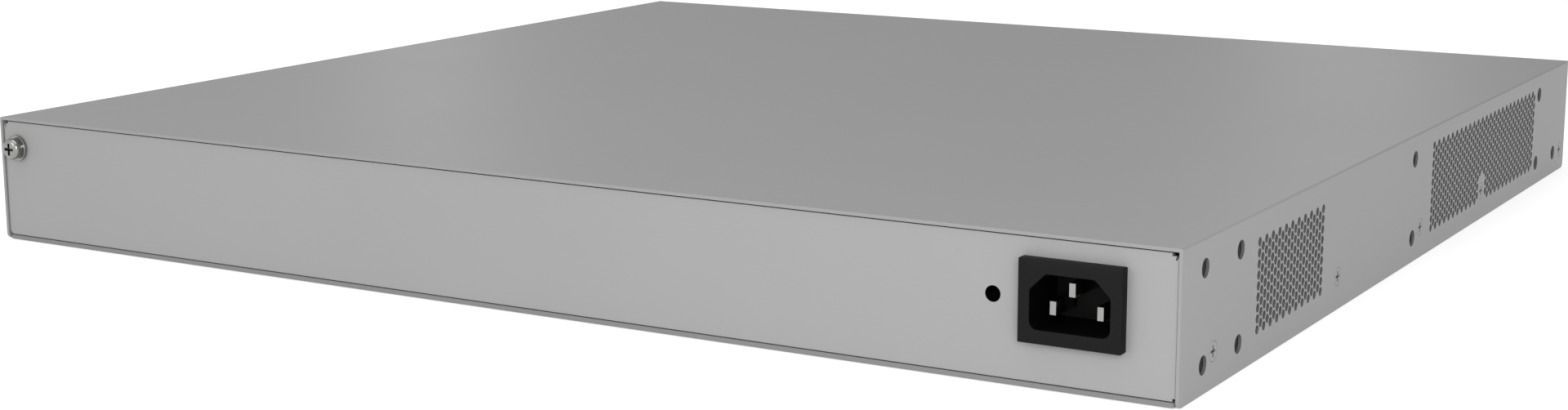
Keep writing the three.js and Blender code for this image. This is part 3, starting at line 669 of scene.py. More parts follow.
def add_cover():
    """Both side walls with their holes, and the top bent over them."""
    shape = Shape()
    wall_top = HEIGHT - COVER_SHEET - 0.1
    bottom = COVER_LOW[2]
    outline = [
        *arc(FRONT + CORNER, bottom + CORNER, CORNER, 180, 270, 6),
        *arc(REAR - CORNER, bottom + CORNER, CORNER, 270, 360, 6),
        (REAR, wall_top),
        (FRONT, wall_top),
    ]
    vents = [centre for vent in (REAR_VENT, FRONT_VENT) for centre in vent_centres(vent)]
    holes = round_holes(vents, VENT_FLATS / math.sqrt(3), sides=6)
    holes += round_holes(side_holes(), BRACKET_HOLE)
    for place in screw_places():
        holes.append((circle(*place, SCREW_HEAD + GAP * 0.2, 32), circle(*place, SCREW_NECK + GAP * 0.5, 32)))
    open_edge = len(outline) - 2  # the wall's top, where the bend starts
    for side in (-1, 1):
        levels = (side * HALF_WIDTH, side * (HALF_WIDTH - COVER_SHEET))
        outer, inner = sheet(shape, "x", levels, outline, holes, closed=False)
        for i in range(len(outer)):
            j = (i + 1) % len(outer)
            if i != open_edge:
                shape.face((outer[i], outer[j], inner[j], inner[i]))
    add_bends(shape, wall_top)

    def on_rim(point):
        between_corners = FRONT + CORNER < point.y < REAR - CORNER
        return abs(point.z - bottom) < 1e-3 or not between_corners

    def is_sharp(a, b):
        across = abs(a.x - b.x)
        at_end = any(abs(a.y - y) < 1e-3 and abs(b.y - y) < 1e-3 for y in (FRONT, REAR))
        at_foot = max(a.z, b.z) < CORNER + 1e-3 and a.z + b.z < 2 * CORNER and across < 1e-3
        through_sheet = COVER_SHEET * 0.9 < across < COVER_SHEET * 1.1 and a.z < wall_top
        return (at_end or (at_foot and on_rim(a) and on_rim(b))) and not through_sheet

    bmesh.ops.remove_doubles(shape.bm, verts=shape.bm.verts, dist=1e-4)
    shape.bevel_edges(is_sharp)
    cover = shape.make("cover_shell", smooth_angle=25)
    add_bevel(cover, 0.1, weighted=True)
    add_weighted_normals(cover)
    finish_piece(cover, COVER_PAINT, ["top_cover"])


def add_bends(shape, wall_top):
    """The two long bends and the top sheet between them."""
    skins = []
    for offset, radius in ((0.0, COVER_BEND), (COVER_SHEET, 0.05)):
        half, top = HALF_WIDTH - offset, HEIGHT - offset
        right = [(half, wall_top)] + arc(half - radius, top - radius, radius, 0, 90, 5)
        left = [(-u, v) for u, v in reversed(right)]
        skins.append([shape.lay(right + left, y) for y in (FRONT, REAR)])
    (outer_front, outer_rear), (inner_front, inner_rear) = skins
    shape.wall(outer_front, outer_rear, closed=False)
    shape.wall(inner_front, inner_rear, closed=False)
    shape.wall(outer_front, inner_front, closed=False)
    shape.wall(outer_rear, inner_rear, closed=False)


def add_tray():
    """The floor with its standoffs, and the two upturned sides, which show through the cover's holes."""
    low, high = box_mm("base_tray")
    shape = Shape()
    edge = [(0.35, 0.0), (0.1, 0.1), (0.0, 0.35), (0.0, BASE_SHEET - 0.2), (0.2, BASE_SHEET)]
    shape.stack(inset_levels(low, high, 1.2, edge, "z"), "z")
    standoff = [(0, BASE_SHEET), (3.6, BASE_SHEET), (3.0, BASE_SHEET + 0.6), (3.0, BOARD_BOTTOM - 0.5),
                (2.8, BOARD_BOTTOM - GAP), (0, BOARD_BOTTOM - GAP)]
    for x, y in STANDOFFS:
        turned(shape, standoff, 24, place_about("z", x, y + CASE_Y))
    tray = shape.make("tray_floor")
    add_weighted_normals(tray)
    # The tray floor takes the darker copy of the paint, as painted shade.
    finish_piece(tray, SHADED_TRAY_PAINT, ["base_tray"])

    start, end = (y + CASE_Y for y in TRAY_SIDE)
    upright = [(start, BASE_SHEET), (end, BASE_SHEET), (end, high[2]), (start, high[2])]
    holes = [straight(rounded_box([y + CASE_Y for y in span], z, 1.0)) for span, z in TRAY_WINDOWS]
    holes += round_holes(side_holes(), BRACKET_THREAD)
    holes += round_holes(screw_places(), SCREW_SHANK + GAP, sides=16)
    walls = Shape()
    for sign in (-1, 1):
        sheet(walls, "x", (sign * high[0], sign * (high[0] - PANEL_SHEET)), upright, holes)
    # The sides take the dark finish that paints the shade inside the case.
    finish_piece(walls.make("tray_sides"), TRAY_SIDE_SHADE, ["base_tray"])


def corner_relief(side, top):
    """The cut at an upper corner: a slot along the top edge and a slit slanting down from its end."""
    slot = 0.85
    points = [(0, 0.9), (0.5, 2.0), (0.95, 1.9), (0.6, slot), (1.9, slot), (1.9, 0)]
    inward = -1 if side > 0 else 1
    outline = [(side + inward * along, top - down) for along, down in points]
    return outline if side > 0 else outline[::-1]


def add_rear_plate():
    low, high = box_mm("rear_panel")
    face, left, right, bottom, top = high[1], low[0], high[0], low[2], high[2] - 0.15
    relief, rounding, flange_depth, flange_inset = 0.8, 1.7, 4, 2.5
    outline = [
        (left, bottom + relief),
        (left + relief, bottom + relief),
        (left + relief, bottom),
        *arc(right - rounding, bottom + rounding, rounding, 270, 360, 5),
        *corner_relief(right, top),
        *corner_relief(left, top),
    ]
    spans = [about(middle("inlet_housing", axis), size + 2 * GAP) for axis, size in zip((0, 2), INLET_BODY)]
    holes = [
        straight(rounded_box(*spans, 0.8)),
        (circle(*STRAP_HOLE, STRAP_RADIUS, 48), circle(*STRAP_HOLE, STRAP_RADIUS + 0.7, 48)),
        *round_holes([(middle("earth_screw", 0), middle("earth_screw", 2))], EARTH_HOLE),
    ]
    shape = Shape()
    back = face - PANEL_SHEET
    sheet(shape, "y", (face, back), outline, holes)
    add_returns(shape, (low[1], back - SHADOW_GAP), (bottom + 2, top - 1.8), right)
    flange_z = (top - PANEL_SHEET, top - 0.1)
    shape.box((left + flange_inset, right - flange_inset), (back - flange_depth, back - SHADOW_GAP), flange_z)
    plate = shape.make("rear_plate")
    add_weighted_normals(plate)
    finish_piece(plate, PAINT, ["rear_panel"])


def add_returns(shape, y, z, edge):
    """The flanges folded inwards behind both ends of a panel."""
    outer = edge - PANEL_SHEET - GAP
    shape.box((outer - PANEL_SHEET, outer), y, z)
    shape.box((-outer, PANEL_SHEET - outer), y, z)


def add_cover_screws():
    sunk = 0.03  # below the wall's face
    profile = [(0, -6), (SCREW_SHANK, -6), (SCREW_SHANK, -COVER_SHEET - 0.05), (SCREW_NECK, -COVER_SHEET),
               (SCREW_HEAD - 0.05, -0.08), (SCREW_HEAD - 0.12, 0)]
    for side, word in ((-1, "left"), (1, "right")):
        for number, (y, z) in enumerate(screw_places(), start=1):
            def place(u, v, height, y=y, z=z, side=side):
                return (side * (HALF_WIDTH - sunk + height), y + u, z + v)

            shape = Shape()
            screw(shape, profile, 2.2, 0, (3.4, 0.8, 1.1), place, "x")
            obj = shape.make(f"flush_screw_{word}_{number}")
            # The cover paint darkens the screw's cross recess and sides as painted shade.
            finish_piece(obj, COVER_PAINT, [f"cover_screw_{word}_{number}"])


def add_earth_terminal():
    """A plated washer, a spring washer and a domed screw head."""
    place = place_about("y", middle("earth_screw", 0), middle("earth_screw", 2))
    (left, low, _), (right, high, _) = box_mm("earth_washer")
    head_top = box_mm("earth_screw")[1][1]
    bore, rim = 2.15, (right - left) / 2
    section = [(bore, low), (rim - 0.1, low), (rim, low + 0.1), (rim, high - 0.15), (rim - 0.15, high),
               (bore + 0.1, high), (bore, high - 0.1)]
    washer = Shape()
    turned_ring(washer, section, 56, place)
    finish_piece(washer.make("earth_washer_plated"), CHROME, ["earth_washer"])

    spring = Shape()
    add_spring_washer(spring, place, high + 0.05, bore, 3.55, 0.75)
    finish_piece(spring.make("earth_spring_washer"), CHROME)

    base, shank, flat, rim = high + 0.85, 1.9, 2.3, 3.7
    rise = head_top - base
    angles = [math.radians(15 * i) for i in range(6)]
    dome = [(flat + (rim - flat) * math.cos(a), base + rise * (0.3 + 0.7 * math.sin(a))) for a in angles]
    tip = [(0, head_top - 13), (shank, head_top - 12.6), (shank, base),
           (rim - 0.15, base), (rim, base + 0.15)]
    body = Shape()
    screw(body, tip + dome, flat, head_top, (4.2, 1.0, 1.9), place, "y", sides=56)
    finish_piece(body.make("earth_screw_head"), CHROME, ["earth_screw"])


def add_spring_washer(shape, place, base, inner, outer, thickness):
    """A split ring that rises a little from one cut end to the other."""
    sides, gap, climb = 44, math.radians(14), 0.12
    rings = []
    for i in range(sides + 1):
        angle = math.radians(60) + gap / 2 + (2 * math.pi - gap) * i / sides
        rise = climb * i / sides
        top = rise + thickness - climb
        corners = [(inner, rise), (outer, rise), (outer, top), (inner, top)]
        u, v = math.cos(angle), math.sin(angle)
        rings.append(shape.ring([place(radius * u, radius * v, base + height) for radius, height in corners]))
    shape.solid(rings)


def socket_outline(x, z, inset):
    """The mains socket: two cut upper corners and two rounded lower ones."""
    half_w, half_h = SOCKET_WIDTH / 2 - inset, SOCKET_HEIGHT / 2 - inset
    chamfer, radius = SOCKET_CHAMFER - inset * 0.6, max(SOCKET_RADIUS - inset, 0.3)
    ease = 0.5
    right = [
        (half_w, half_h - chamfer - ease),
        (half_w - ease * 0.5, half_h - chamfer + ease * 0.4),
        (half_w - chamfer + ease * 0.4, half_h - ease * 0.5),
        (half_w - chamfer - ease, half_h),
    ]
    upper = right + [(-u, v) for u, v in reversed(right)]
    return (
        arc(x - half_w + radius, z - half_h + radius, radius, 180, 270, 6)
        + arc(x + half_w - radius, z - half_h + radius, radius, 270, 360, 6)
        + [(x + u, z + v) for u, v in upper]
    )


def add_inlet():
    """A flange, a body through the panel, and the socket with slots for the pins in its floor."""
    low, high = box_mm("inlet_housing")
    x, z = middle("inlet_housing", 0), middle("inlet_housing", 2)
    face, back = high[1], low[1]
    flange_back = box_mm("rear_panel")[1][1] + 0.1
    pins = ["inlet_pin_line", "inlet_pin_neutral", "inlet_pin_earth"]
    shape = Shape()
    eased = ((0.15, face), (0.04, face - 0.05), (0.0, face - 0.15), (0.0, flange_back))
    flange = shape.lay_all(inset_levels(low, high, 0.35, eased))
    shape.walls(flange)
    body_outline = rounded_box(about(x, INLET_BODY[0]), about(z, INLET_BODY[1]), 0.7)
    body_front, body_back = shape.lay(body_outline, flange_back), shape.lay(body_outline, back)
    shape.fill(flange[-1], [body_front])
    shape.wall(body_front, body_back)

    steps = ((0.0, face), (0.12, face - 0.12), (0.4, face - SOCKET_DEPTH))
    well = [shape.lay(socket_outline(x, z, inset), level) for inset, level in steps]
    shape.fill(flange[0], [well[0]])
    shape.walls(well)
    spans = [(about(middle(pin, 0), 2.5), about(middle(pin, 2), 4.5)) for pin in pins]
    slots = [rounded_box(*span, 0.2, steps=1) for span in spans]
    fronts, backs = [[shape.lay(slot, level) for slot in slots] for level in (face - SOCKET_DEPTH, back)]
    shape.fill(well[-1], fronts)
    shape.fill(body_back, backs)
    for slot_front, slot_back in zip(fronts, backs):
        shape.wall(slot_front, slot_back)
    finish_piece(shape.make("inlet_shell", smooth_angle=40), INLET_BLACK, ["inlet_housing"])
    for pin in pins:
        add_inlet_pin(pin)


def add_inlet_pin(node):
    """A flat blade with a bevelled tip and a narrower solder tail."""
    low, high = box_mm(node)
    shape = Shape()
    levels = []
    for inset_x, inset_z, level in (
        (0.45, 0.5, low[1]),
        (0.4, 0.2, low[1] + 0.5),
        (0.4, 0.2, low[1] + 5.5),
        (0.0, 0.0, low[1] + 6.0),
        (0.0, 0.0, high[1] - 0.12),
        (0.1, 0.1, high[1]),
    ):
        spans = (low[0] + inset_x, high[0] - inset_x), (low[2] + inset_z, high[2] - inset_z)
        levels.append((rounded_box(*spans, 0.15, steps=2), level))
    shape.stack(levels)
    finish_piece(shape.make(node + "_blade", smooth_angle=40), BLADE, [node])


# ---------------------------------------------------------------- port face


def light_places():
    return [LIGHT_FIRST + i * LIGHT_PITCH for i in range(LIGHT_COUNT)]


def node_hole(nodes):
    """The opening round one node or several."""
    lows, highs = zip(*(box_mm(node) for node in nodes))
    low, high = [min(values) for values in zip(*lows)], [max(values) for values in zip(*highs)]
    return straight(box_outline(low, high, -GAP, 0.3, steps=3))


def add_front_plate():
    low, high = box_mm("front_panel")
    face = low[1]
    holes = [node_hole([node]) for node in PORT_BLOCKS]
    holes.append(node_hole(CAGES))
    for node, radius in BUTTON_HOLE.items():
        holes += round_holes([(middle(node, 0), middle(node, 2))], radius, sides=40)
    holes += round_holes([(x, LIGHT_Z) for x in light_places()], 1.5)
    shape = Shape()
    sheet(shape, "y", (face, face + PANEL_SHEET), box_outline(low, high, 0, 1.0), holes)
    add_returns(shape, (face + PANEL_SHEET + SHADOW_GAP, high[1]), (low[2] + 2, high[2] - 1.8), high[0])
    plate = shape.make("front_plate")
    add_weighted_normals(plate)
    finish_piece(plate, PAINT, ["front_panel"])


def port_openings(low, high):
    """For each port of a block: centre x, low and high z of the opening, and whether its key is above."""
    columns, rows = round((high[0] - low[0]) / PORT_PITCH), round((high[2] - low[2]) / PORT_ROW)
    row_height = (high[2] - low[2]) / rows
    margin = (row_height - PORT_HEIGHT - PORT_KEY_HEIGHT) / 2
    x0 = (low[0] + high[0]) / 2
    ports = []
    for column in range(columns):
        for row in range(rows):
            key_above = row > 0
            bottom = low[2] + row * row_height + margin + (0 if key_above else PORT_KEY_HEIGHT)
            x = x0 + (column - (columns - 1) / 2) * PORT_PITCH
            ports.append((x, bottom, bottom + PORT_HEIGHT, key_above))
    return ports


def port_outline(port, inset=0.0):
    """The T of a modular jack: a wide mouth and a narrow slot for the plug's latch."""
    x, bottom, top, key_above = port
    half, key = PORT_WIDTH / 2 - inset, PORT_KEY / 2 - inset
    low, high = bottom + inset, top - inset
    if key_above:
        tip = high + PORT_KEY_HEIGHT
        return [(x - half, low), (x + half, low), (x + half, high), (x + key, high),
                (x + key, tip), (x - key, tip), (x - key, high), (x - half, high)]
    tip = low - PORT_KEY_HEIGHT
    return [(x - key, tip), (x + key, tip), (x + key, low), (x + half, low),
            (x + half, high), (x - half, high), (x - half, low), (x - key, low)]


def add_port_block(node):
    low, high = box_mm(node)
    ports = port_openings(low, high)
    add_port_shell(node, low, high, ports)
    add_port_insert(node, low, high, ports)
    add_port_contacts(node, low, ports)
    add_port_lights(node, low, ports)


def add_port_shell(node, low, high, ports):
    """A pressed shell with an opening for each port, open behind."""
    shape = Shape()
    face, end = low[1], high[1]
    inside = face + PORT_SHELL
    insets = ((0.12, face), (0.0, face + 0.12), (0.0, end), (PORT_SHELL, end), (PORT_SHELL, inside))
    rims = shape.lay_all(inset_levels(low, high, 0.5, insets))
    openings = [port_outline(port, -0.1) for port in ports]
    fronts, backs = [[shape.lay(opening, level) for opening in openings] for level in (face, inside)]
    shape.fill(rims[0], fronts)
    shape.walls(rims)
    shape.fill(rims[-1], backs)
    for front, back in zip(fronts, backs):
        shape.wall(front, back)
    finish_piece(shape.make(node + "_shell"), PORT_METAL, [node])


def add_port_insert(node, low, high, ports):
    """The moulding inside the shell, with a socket for each plug."""
    shape = Shape()
    front_y = low[1] + PORT_SHELL + 0.02
    outline = box_outline(low, high, PORT_SHELL + 0.05, 0.3)
    front = shape.lay(outline, front_y)
    mouths = [shape.lay(port_outline(port), front_y) for port in ports]
    floors = [shape.lay(port_outline(port, 0.12), low[1] + PORT_DEPTH) for port in ports]
    shape.fill(front, mouths)
    shape.pocket(front, shape.lay(outline, high[1] - 0.1))
    for mouth, floor in zip(mouths, floors):
        shape.wall(mouth, floor)
        shape.fill(floor)
    finish_piece(shape.make(node + "_insert"), BLACK)


def add_port_contacts(node, low, ports):
    """Eight sprung wires in each port, on the side away from the latch slot."""
    shape = Shape()
    wires, width, thickness, pitch = 8, 0.38, 0.22, 1.02
    path = [(12.9, 0.35), (5.4, 0.55), (4.4, 0.9), (4.1, 1.5), (4.9, 1.9), (10.5, 3.9), (12.9, 4.3)]
    for x, bottom, top, key_above in ports:
        root, sign = (bottom, 1) if key_above else (top, -1)
        for i in range(wires):
            strip(shape, x + (i - (wires - 1) / 2) * pitch, width, thickness, (low[1], root), sign, path)
    finish_piece(shape.make(node + "_contacts"), GOLD)


def add_port_lights(node, low, ports):
    """Two small lenses beside each latch slot."""
    shape = Shape()
    width, height = 1.9, 1.2
    for x, bottom, top, key_above in ports:
        z = top + PORT_KEY_HEIGHT / 2 if key_above else bottom - PORT_KEY_HEIGHT / 2
        for side in (-1, 1):
            centre = x + side * (PORT_WIDTH + PORT_KEY) / 4
            levels = []
            for inset, level in ((0.0, low[1] + 0.3), (0.0, low[1] - 0.02), (0.15, low[1] - 0.12)):
                spans = about(centre, width - 2 * inset), about(z, height - 2 * inset)
                levels.append((rounded_box(*spans, 0.2, steps=2), level))
            shape.stack(levels)
    finish_piece(shape.make(node + "_lights"), CLEAR)


def add_uplink_cage(node):
    """A pressed cage with sprung fingers in its mouth and a connector at its end."""
    low, high = box_mm(node)
    front, back = low[1], high[1]
    shape = Shape()
    wall = CAGE_WALL
    steps = ((0.0, back), (0.0, front + 0.1), (0.1, front), (wall - 0.1, front), (wall, front + 0.1),
             (wall, back - wall))
    shape.stack([(box_outline(low, high, inset, max(0.7 - inset, 0.3)), level) for inset, level in steps])
    fingers, path = 4, [(0.4, 0.0), (2.2, 0.28), (4.8, 0.42), (7.5, 0.05)]
    for z, sign in ((low[2] + wall, 1), (high[2] - wall, -1)):
        for i in range(fingers):
            x = low[0] + (high[0] - low[0]) * (i + 1) / (fingers + 1)
            strip(shape, x, 1.6, 0.15, (front, z), sign, path)
    finish_piece(shape.make(node + "_shell"), PORT_METAL, [node])
    add_cage_connector(node, low, high)


def add_cage_connector(node, low, high):
    shape = Shape()
    x, back, length, slot_depth = (low[0] + high[0]) / 2, high[1] - 1, 8, 6
    outer = rounded_box(about(x, 11.4), (low[2] + 1.5, high[2] - 1.9), 0.3, steps=2)
    slot = rounded_box(about(x, 9.6), about(low[2] + 4.6, 1.5), 0.2, steps=2)
    front, mouth = shape.lay(outer, back - length), shape.lay(slot, back - length)
    shape.fill(front, [mouth])
    shape.pocket(front, shape.lay(outer, back))
    shape.pocket(mouth, shape.lay(slot, back - length + slot_depth))
    finish_piece(shape.make(node + "_connector"), BLACK)


def add_button(node, name, dish):
    """A dished cap, a collar behind the panel and a stem."""
    low, high = box_mm(node)
    collar = (high[0] - low[0]) / 2
    radius = BUTTON_RADIUS[node]
    stem = min(radius, 1.4)
    front, back = low[1], high[1]
    panel_back = box_mm("front_panel")[0][1] + PANEL_SHEET + GAP
    profile = [
        (0, front + dish), (radius * 0.5, front + dish * 0.75), (radius - 0.45, front + 0.02),
        (radius - 0.25, front), (radius - 0.06, front + 0.08), (radius, front + 0.3),
        (radius, panel_back - 0.1), (collar, panel_back), (collar, panel_back + 1), (stem, panel_back + 1.1),
        (stem, back - 0.2), (stem - 0.2, back), (0, back),
    ]
    shape = Shape()
    turned(shape, profile, 44, place_about("y", middle(node, 0), middle(node, 2)))
    finish_piece(shape.make(name), BLACK, [node], body=node)


def add_light_guide():
    """Five lens tips on arms that join a bar, and two feet."""
    low, high = box_mm("light_guide")
    front, foot = low[1], low[2]
    arm_y = (front + 6.2, high[1])
    bar_y = (arm_y[0] + 1, arm_y[1] - 1)
    tip = [(0, front), (0.6, front + 0.06), (1.0, front + 0.25), (1.2, front + 0.6), (1.2, arm_y[0] + 1),
           (0, arm_y[0] + 1)]
    shape = Shape()
    for x in light_places():
        turned(shape, tip, 28, place_about("y", x, LIGHT_Z))
        shape.box(about(x, 2.4), arm_y, (foot + 9, high[2] - 0.2))
    joint_x = (light_places()[0] - 1.2, light_places()[-1] + 1.2)
    shape.box(joint_x, (arm_y[0] + 0.8, arm_y[1] - 0.8), (foot + 12, foot + 14.4))
    for x in (low[0] + 1, high[0] - 1):
        shape.box(about(x, 2), bar_y, (foot, foot + 14))
    shape.box((low[0] + 1, high[0] - 1), bar_y, (foot + 12.4, foot + 14))
    finish_piece(shape.make("light_guide_lenses"), CLEAR, ["light_guide"])


# ---------------------------------------------------------------- fans


def add_fan(number):
    node = f"fan_frame_{number}"
    x, y, z = (middle(node, axis) for axis in range(3))
    add_fan_frame(node, y, z)
    add_fan_rotor(f"fan_rotor_{number}", x, y, z)


def add_fan_frame(node, y, z):
    """A square frame with a waist between its flanges, a bore, and struts to the motor's seat."""
    low, high = box_mm(node)
    size, end = high[1] - low[1], high[0]
    outline = rounded_box(about(y, size), about(z, size), 3.2, steps=6)
    waist = rounded_box(about(y, size - 3), about(z, size - 3), 3.2, steps=6)
    places = [(y + i * FAN_SCREWS, z + j * FAN_SCREWS) for i in (-1, 1) for j in (-1, 1)]
    flange, bore_lead = 4, 1.6
    shape = Shape()
    ends = []
    for x, inward in ((low[0], 1), (end, -1)):
        face = shape.lay(outline, x, "x")
        mouth = shape.lay(circle(y, z, FAN_BORE_MOUTH, 64), x, "x")
        bore = shape.lay(circle(y, z, FAN_BORE, 64), x + inward * bore_lead, "x")
        screws = [shape.lay(circle(*place, 2.15, 20), x, "x") for place in places]
        shape.fill(face, [mouth] + screws, "x")
        shape.wall(mouth, bore)
        neck = shape.lay(waist, x + inward * flange, "x")
        shape.walls([face, shape.lay(outline, x + inward * flange, "x"), neck])
        ends.append([bore, neck] + screws)
    for start_ring, end_ring in zip(*ends):
        shape.wall(start_ring, end_ring)
    for angle in (30, 150, 270):
        add_strut(shape, y, z, math.radians(angle), end)
    seat = [(0, end - 3), (FAN_HUB - 0.4, end - 3), (FAN_HUB, end - 2.6), (FAN_HUB, end - 0.6),
            (FAN_HUB - 0.4, end - 0.2), (0, end - 0.2)]
    turned(shape, seat, 48, place_about("x", y, z))
    obj = shape.make(node + "_moulding")
    add_bevel(obj, 0.25)
    finish_piece(obj, BLACK, [node])


def add_strut(shape, y, z, angle, end):
    """A tapered bar from the motor's seat to the frame."""
    cos, sin = math.cos(angle), math.sin(angle)
    section = ((-1.1, end - 2.4), (1.1, end - 2.4), (0.7, end - 0.3), (-0.7, end - 0.3))
    shape.solid([
        shape.ring([(x, y + cos * radius - sin * side, z + sin * radius + cos * side) for side, x in section])
        for radius in (FAN_HUB - 1, FAN_BORE + 0.3)
    ])


def add_fan_rotor(node, x, y, z):
    """A hub cup with seven twisted blades, turning about X."""
    back = box_mm(node)[1][0]
    front = x - 9
    cup = [(0, front), (7.5, front), (9.2, front + 0.3), (9.8, front + 0.9), (FAN_HUB, front + 1.8),
           (FAN_HUB, back), (FAN_HUB - 0.8, back), (0, back)]
    shape = Shape()
    turned(shape, cup, 56, place_about("x", y, z))
    for number in range(FAN_BLADES):
        add_blade(shape, 2 * math.pi * number / FAN_BLADES, x, y, z)
    finish_piece(shape.make(node + "_impeller", smooth_angle=45), BLACK, [node], body=node)


def add_blade(shape, turn, x, y, z):
    """A cambered blade, steeper at the hub, as a closed loft from root to tip."""
    stations, points = 7, 9
    root = FAN_HUB - 0.6
    rings = []
    for i in range(stations + 1):
        outward = i / stations
        radius = root + (FAN_TIP - root) * outward
        pitch = math.radians(42 + 12 * outward)
        upper, lower = [], []
        for j in range(points + 1):
            along = j / points
            camber = 1.1 * math.sin(math.pi * along)
            rounding = math.sqrt(math.sin(math.pi * (0.04 + 0.92 * along)))
            half = 0.62 * rounding * (1 - 0.35 * outward)
            for line, offset in ((upper, camber + half), (lower, camber - half)):
                s = (along - 0.5) * BLADE_CHORD
                sweep = s * math.sin(pitch) + offset * math.cos(pitch)
                axial = s * math.cos(pitch) - offset * math.sin(pitch)
                angle = turn + sweep / radius + 0.18 * outward
                line.append((x + axial, y + radius * math.cos(angle), z + radius * math.sin(angle)))
        rings.append(shape.ring(upper + lower[::-1]))
    shape.solid(rings)


# ---------------------------------------------------------------- boards and what stands on them


def upright(node):
    """A place function for shapes turned about a node's vertical axis."""
    return place_about("z", middle(node, 0), middle(node, 1))


def rows_round(node, spacing, ends):
    """Rows along a node's four sides, as (axis, side, the edge's level, the place along it)."""
    low, high = box_mm(node)
    for axis in (0, 1):
        other = 1 - axis
        count = int((high[other] - low[other] - ends) / spacing)
        for side, edge in ((-1, low[axis]), (1, high[axis])):
            for i in range(count):
                yield axis, side, edge, middle(node, other) + (i - (count - 1) / 2) * spacing


def add_circuit_board(node):
    low, high = box_mm(node)
    places = [(x, y + CASE_Y) for x, y in STANDOFFS]
    inside = [place for place in places if low[0] < place[0] < high[0] and low[1] < place[1] < high[1]]
    shape = Shape()
    outline = box_outline(low, high, 0, 1.5, "z")
    sheet(shape, "z", (high[2], low[2]), outline, round_holes(inside, 1.7, sides=24))
    board = shape.make(node + "_laminate")
    add_bevel(board, 0.12)
    finish_piece(board, BOARD, [node])


def add_small_parts():
    """Chip capacitors and resistors in a row round each large package."""
    shape = Shape()
    deep, wide, tall, spacing, margin = 1.6, 0.8, 0.8, 4.0, 4.5
    for node in LEADED_CHIPS + BALL_CHIPS:
        for axis, side, edge, along in rows_round(node, spacing, 0):
            centres = [(edge + side * margin, deep), (along, wide)]
            (x, length), (y, width) = centres if axis == 0 else centres[::-1]
            levels = []
            for inset, height in ((0.0, 0.02), (0.0, tall - 0.1), (0.1, tall)):
                spans = about(x, length - 2 * inset), about(y, width - 2 * inset)
                levels.append((rounded_box(*spans, 0.08, steps=3), BOARD_TOP + height))
            shape.stack(levels, "z")
    finish_piece(shape.make("board_small_parts"), CERAMIC)


def add_chip(node):
    """A moulded package with eased edges and a dimple at its first pin."""
    low, high = box_mm(node)
    bottom, top = BOARD_TOP + (0.3 if node in LEADED_CHIPS else 0.05), high[2]
    insets = ((0.3, bottom), (0.0, (bottom + top) / 2), (0.2, top - 0.12), (0.32, top))
    shape = Shape()
    rings = shape.lay_all(inset_levels(low, high, 0.4, insets, "z", steps=3), "z")
    shape.walls(rings)
    shape.face(rings[0])
    dimple = (low[0] + 2.2, low[1] + 2.2)
    mouth = shape.lay(circle(*dimple, 0.7, 20), top, "z")
    shape.fill(rings[-1], [mouth], "z")
    shape.pocket(mouth, shape.lay(circle(*dimple, 0.55, 20), top - 0.15, "z"))
    finish_piece(shape.make(node + "_package"), RESIN, [node])
    if node in LEADED_CHIPS:
        add_chip_leads(node)


def add_chip_leads(node):
    """Bent leads in a row along each side, down to the board."""
    pitch, half_width, thickness, corner_clearance = 0.8, 0.15, 0.12, 1.6
    path = ((-0.25, 0.75), (0.25, 0.72), (0.5, 0.06), (1.0, 0.02))
    section = ((-half_width, 0), (half_width, 0), (half_width, thickness), (-half_width, thickness))
    shape = Shape()
    for axis, side, edge, along in rows_round(node, pitch, corner_clearance):
        rings = []
        for outward, rise in path:
            outline = [(along + across, BOARD_TOP + rise + up) for across, up in section]
            rings.append(shape.lay(outline, edge + side * outward, "xy"[axis]))
        shape.solid(rings)
    finish_piece(shape.make(node + "_leads"), STEEL)


def add_board_screw(node):
    low, high = box_mm(node)
    bottom, top = low[2], high[2]
    seat = BOARD_TOP + 0.02
    profile = [(0, bottom), (1.3, bottom + 0.4), (1.3, seat), (2.7, seat), (2.8, seat + 0.12),
               (2.75, top - 1.0), (2.5, top - 0.35)]
    shape = Shape()
    screw(shape, profile, 2.0, top, (3.2, 0.75, 1.1), upright(node), "z")
    finish_piece(shape.make(node + "_pan_head"), STEEL, [node])


def add_heat_sink(node, axis, count, fin):
    """A comb of tapered fins on a base plate. The fins run along the given axis."""
    low, high = box_mm(node)
    across, base, tip, taper = 1 - axis, 3.0, 0.25, fin * 0.15
    start, end = low[across], high[across]
    pitch = (end - start - fin) / (count - 1)
    outline = [(start, low[2]), (end, low[2])]
    for i in reversed(range(count)):
        near, far = start + i * pitch, start + i * pitch + fin
        outline += [
            (far, low[2] + base), (far - taper, high[2] - tip), (far - taper - tip, high[2]),
            (near + taper + tip, high[2]), (near + taper, high[2] - tip), (near, low[2] + base),
        ]
    shape = Shape()
    sheet(shape, "xy"[axis], (low[axis], high[axis]), outline, [])
    finish_piece(shape.make(node + "_extrusion"), ALUMINIUM, [node])


def add_capacitor(node):
    """A can in a shrunk sleeve, rolled in above its seal, with a scored top."""
    low, high = box_mm(node)
    radius, foot, top = (high[0] - low[0]) / 2, low[2] - 0.2, high[2]
    profile = [(0, foot), (radius - 0.7, foot), (radius - 0.2, foot + 0.5), (radius - 0.2, foot + 2.2),
               (radius - 1.0, foot + 2.9), (radius - 1.0, foot + 3.5), (radius, foot + 4.2),
               (radius, top - 1.3), (radius - 0.4, top - 0.4), (radius - 1.3, top - 0.05),
               (radius - 2.0, top - 0.3)]
    shape = Shape()
    screw(shape, profile, radius - 2.1, top - 0.35, (15, 0.5, 0.25), upright(node), "z", sides=56)
    finish_piece(shape.make(node + "_can"), SLEEVE, [node])


